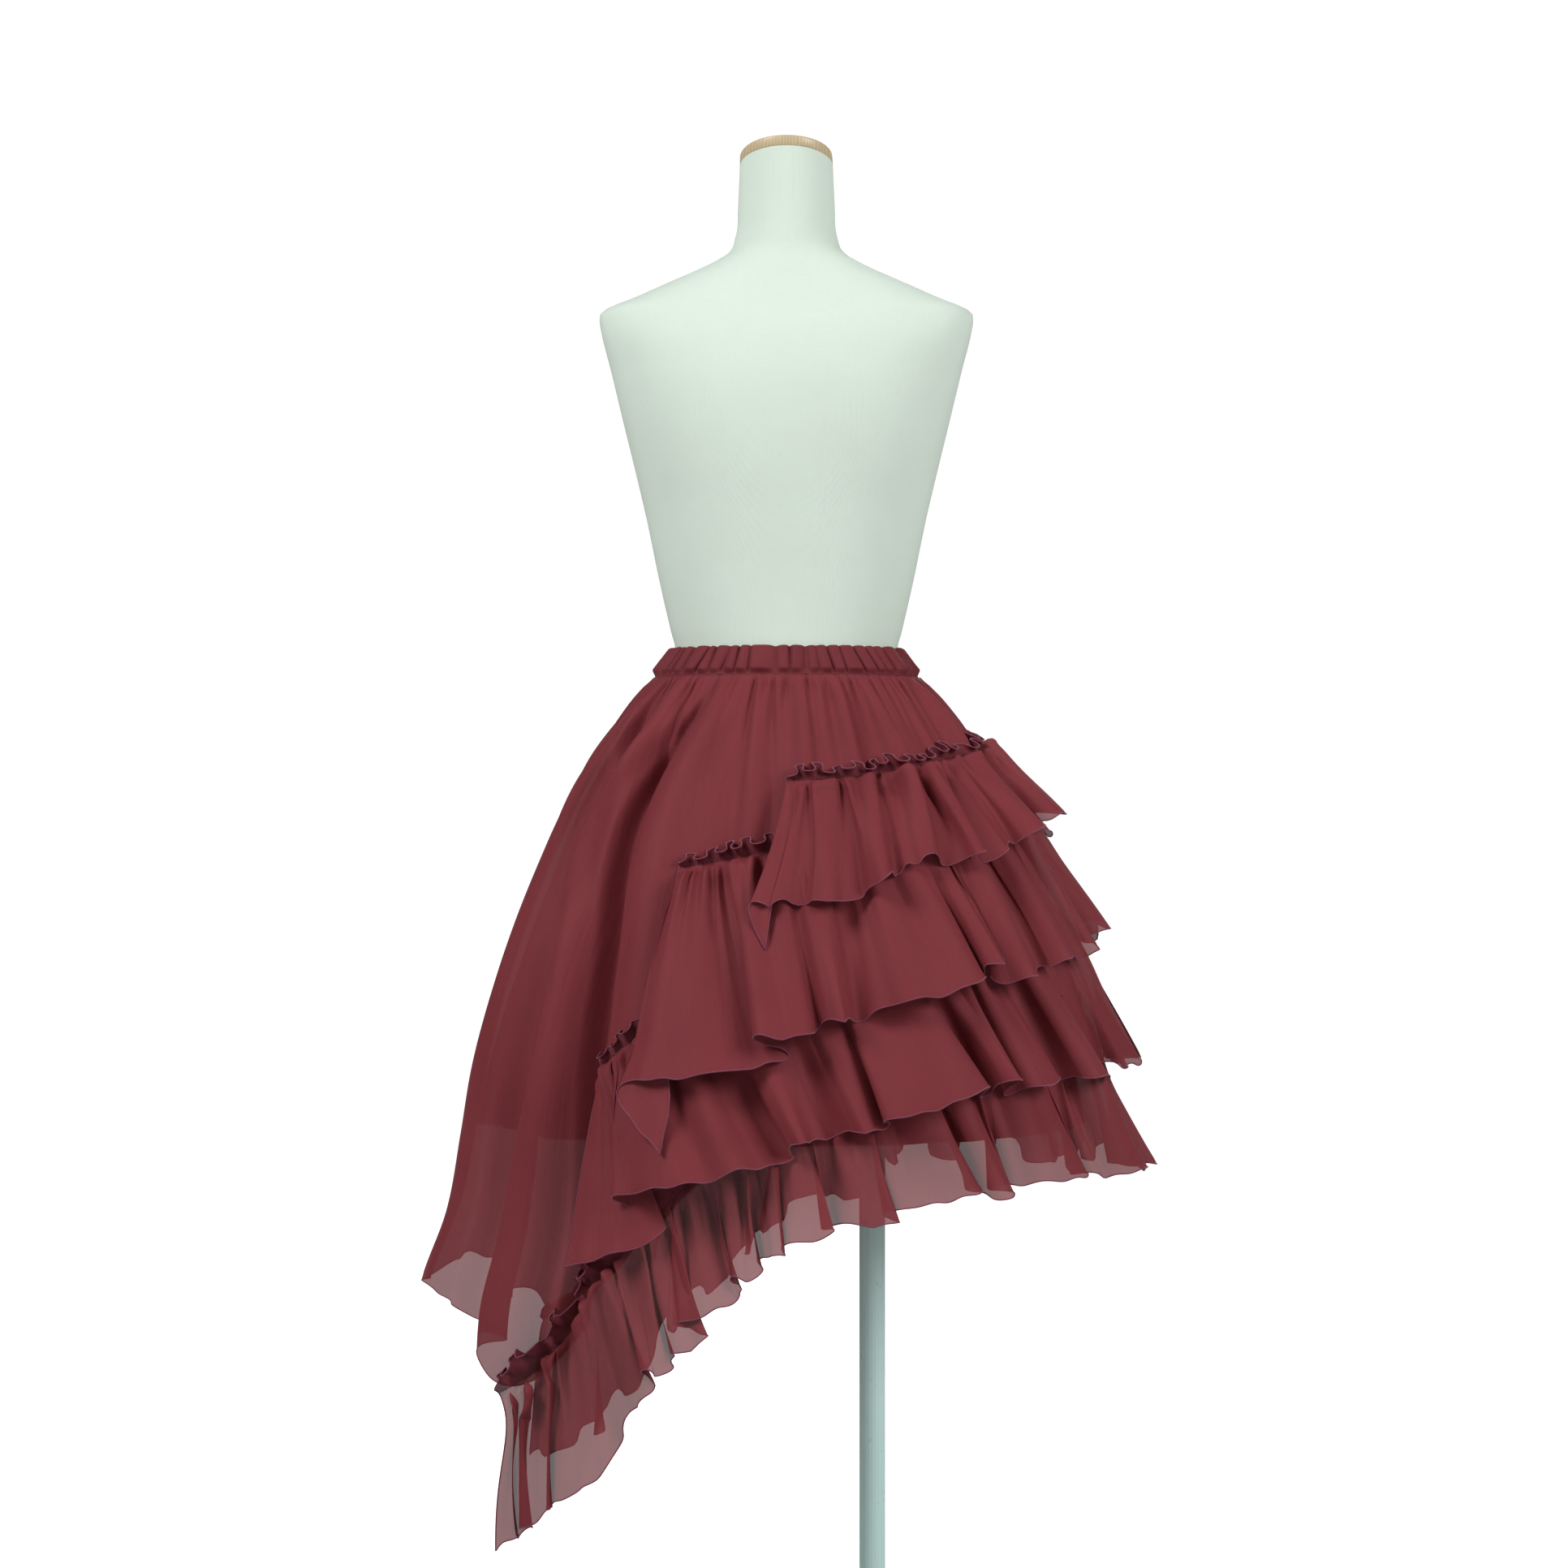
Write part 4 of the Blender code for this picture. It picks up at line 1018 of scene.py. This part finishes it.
def tierGrid(tier, number):
    s, path = hemPath(tierMarks(tier, number), ruffle["step"])
    hemTurn, hemLevel, hemOut, stitchTurn = path.T
    stitchTurn = np.maximum.accumulate(stitchTurn)
    stepSize, stepPitch = ruffle["frontSteps"]
    steps = stepSize * np.tanh(5 * np.sin(wander(s, stepPitch, 90 + number)))
    hemLevel = hemLevel + steps * smoothStep((hemTurn - 92) / 6)
    stitchHeight = smooth(backTurn(stitchTurn), tier["stitching"]["turn"], tier["stitching"]["height"])
    if tier["alongHem"]:
        stitchHeight = stitchHeight - hiddenDrop(stitchTurn)
    shares = np.linspace(0, 1, ruffle["rows"]) ** 1.2
    swing, peak, reach = ruffle["bends"].get(number, (0.0, 0.5, 1.0))
    nearEnd = swing * np.exp(-(s / reach) ** 2)
    body = []
    room = []
    for share in shares:
        turn = stitchTurn + share * (hemTurn - stitchTurn) + nearEnd * bent(share, peak)
        height = stitchHeight + share * (hemLevel - stitchHeight)
        if share == 0:
            onShell = bridged(seat(turn, height, sewn=True), 6)
        level = seat(turn, height) if share > 0 else onShell
        swell = ruffle["puff"] * math.sin(math.pi * share)
        spring = ruffle["shoulder"] * (1 - math.exp(-share / ruffle["springs"])) * (1 - share)
        out = (1 - share) * onShell + share ** ruffle["flare"][number - 1] * hemOut + swell + spring
        room.append(np.minimum(level - out, 0) * 0.96)
        body.append(skirtPoint(turn, height, np.maximum(out, level)))
    body = np.array(body)
    w = shares[:, None]
    # less relief where the stitching is short for its hem, and at the free ends
    packed = np.gradient(lengths(skirtPoint(stitchTurn, stitchHeight, 0.0))) / np.gradient(s)
    fullness = np.clip(averaged(packed, 20) / 0.36, 0.15, 1)
    ends = 0.1 + 0.9 * smoothStep(np.minimum(s, s[-1] - s) / 0.030)
    relief = tierRelief(tier, number, s, w, hemTurn) * fullness * ends
    shown = smoothStep((tier["openTo"] - backTurn(stitchTurn)) / 3 + 1)
    relief = np.where(relief > 0, relief * np.maximum(smoothStep(w / 0.45), shown), relief)
    relief = np.maximum(relief, np.array(room)) * smoothStep(w / 0.03)
    body = body + relief[..., None] * surfaceNormals(body)
    pitch, rise = ruffle["ripple"]
    body[-1, :, 2] += rise * np.sin(wander(s, pitch, 30 + number))
    return np.vstack([frillRows(tier, number, stitchTurn, stitchHeight, shown), body])


def tierRelief(tier, number, s, w, hemTurn):
    # puckers let out of the stitching, folds that hang from them, and a slight flutter at the hem,
    # at a length s along the hem and a share w of the way down
    pitch, rise, fade = tier["hang"]
    onward = np.radians(np.gradient(hemTurn)) * ruffle["radius"] / np.gradient(s)
    onward = np.convolve(smoothStep((onward + 0.05) / 0.65), np.full(9, 1 / 9), "same")
    # the small folds die away towards the hem where the cloth turns back under itself
    flowing = 1 - w * (1 - onward)
    creasePitch, reaches, widths = ruffle["creases"]
    creases = creaseSet(0, s[-1], creasePitch, reaches, number)
    deep, deepLow = np.array(ruffle["creaseDepth"]) * ruffle["creaseShare"][number - 1]
    pressed = creaseDepth(s[None, :], w, creases, widths, 0.02)
    pucker = -pressed * (deep + (deepLow - deep) * w) * smoothStep(w / 0.04)
    puffPitch, puffRise, puffReach = ruffle["puffs"]
    puffs = puffRise * gathered(wander(s, puffPitch, 110 + number))
    puffs = puffs * np.exp(-(w / puffReach) ** 2) * smoothStep(w / 0.05)
    size = 0.65 + 0.35 * np.sin(wander(s, 2.7 * pitch, 50 + number))
    hanging = gathered(wander(s, pitch, 10 + number)) * size - 0.42 * smoothStep(w / 0.14)
    hanging = rise * hanging * smoothStep(w / 0.10) * (1 - fade * w) * flowing
    flutterPitch, flutterRise = ruffle["flutter"]
    flutter = flutterRise * np.sin(wander(s, flutterPitch, 20 + number)) * w ** 3
    return pucker * flowing + puffs + hanging + flutter


def frillRows(tier, number, stitchTurn, stitchHeight, shown):
    # the frilled heading, top edge first: it stands square to its stitching and leans out in open curls,
    # and lies flat where the tier above presses on it
    width, lean, pitch, swing = tier["frill"]
    line = skirtPoint(stitchTurn, stitchHeight, 0.0)
    run = lengths(line)
    radius = np.hypot(line[:, 0], line[:, 1])
    heading = np.array([np.radians(np.gradient(stitchTurn)) * radius, np.gradient(stitchHeight)])
    along, rising = [averaged(part, 12) for part in heading / (np.hypot(*heading) + 1e-9)]
    curl = wander(run, pitch, 60 + number, 0.40)
    ends = smoothStep(np.minimum(run, run[-1] - run) / 0.012)
    crown = (0.80 + 0.20 * np.sin(wander(run, 2.9 * pitch, 70 + number))) * (0.40 + 0.60 * ends)
    leaning = 0.05 + lean * gathered(curl) * (0.10 + 0.90 * shown)
    out = up = 0.0
    count = ruffle["frillRows"]
    rows = []
    for row in range(1, count + 1):
        share = row / count
        angle = leaning * (0.25 + 0.75 * share)
        out = out + np.sin(angle) * width * crown / count
        up = up + np.cos(angle) * width * crown / count
        aside = -swing * ends * shown * share ** 1.5 * (np.sin(2 * curl) + 0.3 * np.cos(curl))
        turn = stitchTurn + np.degrees((along * aside - rising * up) / radius)
        height = stitchHeight + along * up + rising * aside
        rows.append(skirtPoint(turn, height, bridged(seat(turn, height, sewn=True), 6) + out))
    return np.array(rows[::-1])


def edgePath(points):
    # once round a strip: along the heading, down the far end, back along the hem and up the free end
    return np.concatenate([points[0], points[1:-1, -1], points[-1, ::-1], points[-2:0:-1, 0]])


for number, tier in tiers.items():
    points = tierGrid(tier, number)
    cloth = gridMesh(f"tier{number}Cloth", points, chiffon)
    # the heading rows take the cloth with painted shade
    cloth.data.materials.append(headingChiffonPaintedShade)
    inHeading = np.arange(len(cloth.data.polygons)) < ruffle["frillRows"] * (points.shape[1] - 1)
    cloth.data.polygons.foreach_set("material_index", inHeading.astype(np.int32))
    cord = cordMesh(f"tier{number}RolledEdge", edgePath(points)[::2], ruffle["cord"], hemThread, closed=True)
    stitchRow = points[ruffle["frillRows"]]
    lifted = stitchRow + 0.0007 * surfaceNormals(points)[ruffle["frillRows"]]
    stitches = stitchMesh(f"tier{number}Gathering", lifted[::3], gatherThread)
    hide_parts(f"tier_{number}_back", f"tier_{number}_front")
    drops = lengths(points.transpose(1, 0, 2))[:, -1]

# ---- dress form
form = {
    "sides": 120,
    "rows": 150,
    "neckTop": 1.6245,
    "neckSlope": 0.27,
    "neckHalf": 0.0500,
    "outline": table(
        "height width back front square",
        (0.862, 0.150, 0.098, 0.092, 2.0),
        (0.880, 0.160, 0.110, 0.099, 2.0),
        (0.915, 0.171, 0.125, 0.106, 2.0),
        (0.955, 0.176, 0.131, 0.111, 2.0),
        (0.995, 0.170, 0.122, 0.111, 2.0),
        (1.030, 0.157, 0.106, 0.106, 2.0),
        (1.060, 0.140, 0.095, 0.098, 2.0),
        (1.085, 0.1265, 0.0905, 0.0925, 2.0),
        (1.107, 0.1192, 0.0897, 0.0897, 2.0),
        (1.125, 0.1235, 0.0890, 0.0925, 2.0),
        (1.177, 0.1355, 0.0895, 0.1010, 2.05),
        (1.247, 0.150, 0.094, 0.116, 2.1),
        (1.300, 0.1625, 0.099, 0.121, 2.2),
        (1.351, 0.175, 0.101, 0.110, 2.3),
        (1.405, 0.188, 0.096, 0.092, 2.5),
        (1.445, 0.198, 0.084, 0.074, 2.8),
        (1.457, 0.200, 0.079, 0.068, 2.8),
        (1.466, 0.1985, 0.075, 0.064, 2.8),
        (1.483, 0.162, 0.069, 0.058, 2.5),
        (1.499, 0.127, 0.063, 0.054, 2.3),
        (1.516, 0.089, 0.057, 0.051, 2.1),
        (1.530, 0.064, 0.053, 0.050, 2.0),
        (1.550, 0.0545, 0.051, 0.050, 2.0),
        (1.580, 0.0520, 0.050, 0.050, 2.0),
    ),
    "linen": (0.735, 0.845, 0.745, 1.0),
    "linenShade": (0.66, 0.76, 0.66, 1.0),
    "fleck": (0.58, 0.62, 0.52, 1.0),
}


def sectionRing(sides, height, width, back, front, square):
    angle = evenly(sides, 2 * np.pi)
    east = np.copysign(np.abs(np.sin(angle)) ** (2 / square), np.sin(angle))
    south = np.copysign(np.abs(np.cos(angle)) ** (2 / square), np.cos(angle))
    depth = np.where(south > 0, back, front)
    return np.stack([width * east, -depth * south, np.broadcast_to(height, east.shape)], -1)


def slanted(ring, middle):
    tilted = ring.copy()
    tilted[:, 2] = middle - form["neckSlope"] * ring[:, 1]
    return tilted


def makeLinen():
    material, tree, surface, place = newMaterial(
        "formLinen", "Object", Sheen_Weight=0.12, Specular_IOR_Level=0.15, Roughness=0.88,
    )
    weave = placeGroup(tree, weaveGroup, place, Threads_per_metre=900.0, Slub=0.8)
    tone = placeGroup(
        tree, toneGroup, place, Colour=form["linen"], Deeper=form["linenShade"], Scale=9.0, Amount=0.35,
    )
    threads = mixColours(tree, times(tree, weave["Gap"], 0.10), tone["Colour"], form["linenShade"])
    flecks = above(tree, noise(tree, stretched(tree, place, (420.0, 420.0, 90.0)), 1.0, 2.0), 0.66, 1.6)
    plug(tree, surface["Base Color"], mixColours(tree, flecks, threads, form["fleck"]))
    slack = noise(tree, stretched(tree, place, (11.0, 11.0, 5.0)), 1.0, 2.0)
    addBumps(tree, surface, (slack, 0.12, 0.01), (weave["Height"], 0.35, 0.0005))
    return material


formLinen = makeLinen()
outline = form["outline"]
levels = np.linspace(outline["height"][0], outline["height"][-1], form["rows"])
sizes = [smooth(levels, outline["height"], outline[name]) for name in ("width", "back", "front", "square")]
formRings = [sectionRing(form["sides"], level, *row) for level, *row in zip(levels, *sizes)]
neckRing = sectionRing(form["sides"], 0.0, form["neckHalf"], form["neckHalf"], form["neckHalf"], 2.0)
neckTop = slanted(neckRing, form["neckTop"])
shoulders = formRings[-1]
formRings += [shoulders * (1 - share) + neckTop * share for share in (0.35, 0.7, 1.0)]
formCover = ringMesh("formCover", formRings, formLinen)
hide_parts("form_torso")
print("form made")

cap = {
    "half": 0.0500, "thickness": 0.0115, "gap": 0.0004, "chamfer": 0.0006, "rounding": 0.0026, "sides": 96,
    "wood": (0.66, 0.53, 0.33, 1.0), "grain": (0.47, 0.34, 0.18, 1.0),
}


def makeWood():
    material, tree, surface, place = newMaterial("paleWood", "Object", Coat_Weight=0.25, Coat_Roughness=0.25)
    wave = addNode(tree, "TexWave", wave_type="BANDS", bands_direction="X")
    settings = {
        "Vector": stretched(tree, place, (1.0, 0.22, 0.6)),
        "Scale": 95.0, "Distortion": 5.5, "Detail": 3.0, "Detail Scale": 1.4,
    }
    for title, value in settings.items():
        plug(tree, wave.inputs[title], value)
    pores = noise(tree, stretched(tree, place, (900.0, 70.0, 900.0)), 1.0, 2.0)
    tone = mixColours(tree, times(tree, wave.outputs["Fac"], 0.55, clamp=True), cap["wood"], cap["grain"])
    plug(tree, surface["Base Color"], mixColours(tree, above(tree, pores, 0.6, 1.5), tone, cap["grain"]))
    plug(tree, surface["Roughness"], plus(tree, times(tree, pores, 0.2), 0.36))
    addBumps(tree, surface, (wave.outputs["Fac"], 0.1, 0.0006), (pores, 0.15, 0.0003))
    return material


def roundRing(sides, radius, height, x=0.0):
    angle = evenly(sides, 2 * np.pi)
    return np.stack([x + radius * np.cos(angle), radius * np.sin(angle), np.full(sides, height)], -1)


def edgeProfile(radius, low, high, chamfer, rounding, steps):
    # radius and height up the edge of a round plate: a small chamfer below and a rounded edge above
    profile = [(radius - chamfer, low), (radius, low + chamfer)]
    for angle in np.linspace(0, math.pi / 2, steps):
        profile.append((radius - rounding * (1 - math.cos(angle)), high - rounding * (1 - math.sin(angle))))
    return profile


capLow = form["neckTop"] + cap["gap"]
capHigh = capLow + cap["thickness"]
capProfile = edgeProfile(cap["half"], capLow, capHigh, cap["chamfer"], cap["rounding"], 7)
capRings = [slanted(roundRing(cap["sides"], radius, height), height) for radius, height in capProfile]
neckCap = ringMesh("neckCapWood", capRings, makeWood())
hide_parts("form_neck_cap")
print("neck cap made")

# ---- stand: the pole and the collar keep their solids, the base gets a rounder edge
stand = {
    "steel": (0.70, 0.94, 0.90, 1.0), "shade": (0.56, 0.78, 0.74, 1.0), "scuff": (0.20, 0.24, 0.24, 1.0),
    "metallic": 0.08, "roughness": 0.36,
    "radius": 0.180, "thickness": 0.008, "chamfer": 0.0005, "rounding": 0.0015, "sides": 160,
}


def makeSteel(name, linesAcross, scuffs, roughness):
    material, tree, surface, place = newMaterial(name, "Object", Metallic=stand["metallic"])
    marks = placeGroup(tree, scuffGroup, place, Lines_across=linesAcross, Scuffs=scuffs)
    tone = placeGroup(
        tree, toneGroup, place, Colour=stand["steel"], Deeper=stand["shade"], Scale=5.0, Amount=0.3,
    )
    lined = mixColours(tree, times(tree, marks["Lines"], 0.25), tone["Colour"], stand["shade"])
    plug(tree, surface["Base Color"], mixColours(tree, marks["Scuff"], lined, stand["scuff"]))
    rough = plus(tree, times(tree, marks["Lines"], 0.16), roughness - 0.06)
    plug(tree, surface["Roughness"], plus(tree, rough, times(tree, marks["Scuff"], 0.3)))
    addBumps(tree, surface, (marks["Lines"], 0.08, 0.0004))
    return material


poleSteel = makeSteel("poleSteel", 700.0, 0.35, stand["roughness"])
baseSteel = makeSteel("baseSteel", 240.0, 0.25, stand["roughness"] + 0.06)
for node, steel in (("stand_pole", poleSteel), ("stand_collar", baseSteel)):
    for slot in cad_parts[node].material_slots:
        slot.material = steel
baseProfile = edgeProfile(stand["radius"], 0.0, stand["thickness"], stand["chamfer"], stand["rounding"], 6)
baseRings = [roundRing(stand["sides"], radius, height) for radius, height in baseProfile]
basePlate = ringMesh("standBasePlate", baseRings, baseSteel)
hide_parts("stand_base")
print("stand made")

# ---- the waistband's longest drop, over its fold
bandDrop = lengths(bandPoints.transpose(1, 0, 2)).max()

# ---- floor, backdrop, lights and camera
studio = {
    "paper": (0.50, 0.50, 0.50, 1.0),
    "white": (1.0, 1.0, 1.0, 1.0),
    "half": 9.0,
    "level": 6.0,              # how far back the floor is level
    "curve": 1.6,
    "wallTop": 7.0,
    "shown": 0.96,             # the paper's own light, as the camera sees it
    "mirrored": 0.20,          # and as glossy surfaces show it
    "air": 0.105,
    # name, place, aim, power and size of each lamp
    "lamps": (
        ("keyLight", (-2.2, -1.9, 3.1), (0.0, 0.0, 0.9), 89.0, (1.4, 1.4)),
        ("fillLight", (2.5, -1.9, 2.3), (0.0, 0.0, 1.0), 68.0, (1.5, 1.5)),
        ("farLight", (0.4, 3.6, 2.2), (0.0, 0.0, 0.9), 62.0, (2.2, 1.6)),
    ),
    "cameraPlace": (-0.0026, -3.4, 0.963),
    "lens": 72.8,
}


def shownStrength(tree, shown, mirrored, otherwise):
    # light that a white surround shows to the camera and in reflections, but doesn't cast on the cloth
    path = addNode(tree, "LightPath").outputs
    seen = times(tree, path["Is Camera Ray"], shown - otherwise)
    glossy = times(tree, path["Is Glossy Ray"], mirrored - otherwise)
    return plus(tree, plus(tree, seen, glossy), otherwise)


paper = bpy.data.materials.new("backdropPaper")
paper.use_nodes = True
paperSurface = paper.node_tree.nodes["Principled BSDF"].inputs
paperSurface["Base Color"].default_value = studio["paper"]
paperSurface["Roughness"].default_value = 0.95
paperSurface["Emission Color"].default_value = studio["white"]
paperLight = shownStrength(paper.node_tree, studio["shown"], studio["mirrored"], 0.0)
plug(paper.node_tree, paperSurface["Emission Strength"], paperLight)
# the wall stands far enough back to leave room for a camera behind the skirt
half, level, curve = studio["half"], studio["level"], studio["curve"]
bend = [(level + curve * math.sin(a), curve * (1 - math.cos(a))) for a in np.linspace(0, math.pi / 2, 13)]
profile = [(-half, 0.0), *bend, (level + curve, studio["wallTop"])]
verts = [(x, y, z) for y, z in profile for x in (-half, half)]
faces = [(2 * i, 2 * i + 1, 2 * i + 3, 2 * i + 2) for i in range(len(profile) - 1)]
backdrop = addObject("backdrop", verts, faces, paper)

scene = bpy.context.scene
world = bpy.data.worlds.new("studioAir")
world.use_nodes = True
air = world.node_tree.nodes["Background"]
air.inputs["Color"].default_value = studio["white"]
airLight = shownStrength(world.node_tree, 1.0, studio["mirrored"], studio["air"])
plug(world.node_tree, air.inputs["Strength"], airLight)
scene.world = world
scene.view_settings.view_transform = "Standard"


def addArea(name, place, aim, energy, size):
    light = bpy.data.lights.new(name, "AREA")
    light.shape = "RECTANGLE"
    light.size, light.size_y = size
    light.energy = energy
    lamp = bpy.data.objects.new(name, light)
    lamp.location = place
    lamp.rotation_euler = (Vector(aim) - Vector(place)).to_track_quat("-Z", "Y").to_euler()
    scene.collection.objects.link(lamp)


for lamp in studio["lamps"]:
    addArea(*lamp)

camera = bpy.data.cameras.new("camera")
camera.sensor_width = 36.0
camera.lens = studio["lens"]
cameraObject = bpy.data.objects.new("camera", camera)
cameraObject.location = studio["cameraPlace"]
cameraObject.rotation_euler = (math.pi / 2, 0.0, 0.0)
scene.collection.objects.link(cameraObject)
scene.camera = cameraObject
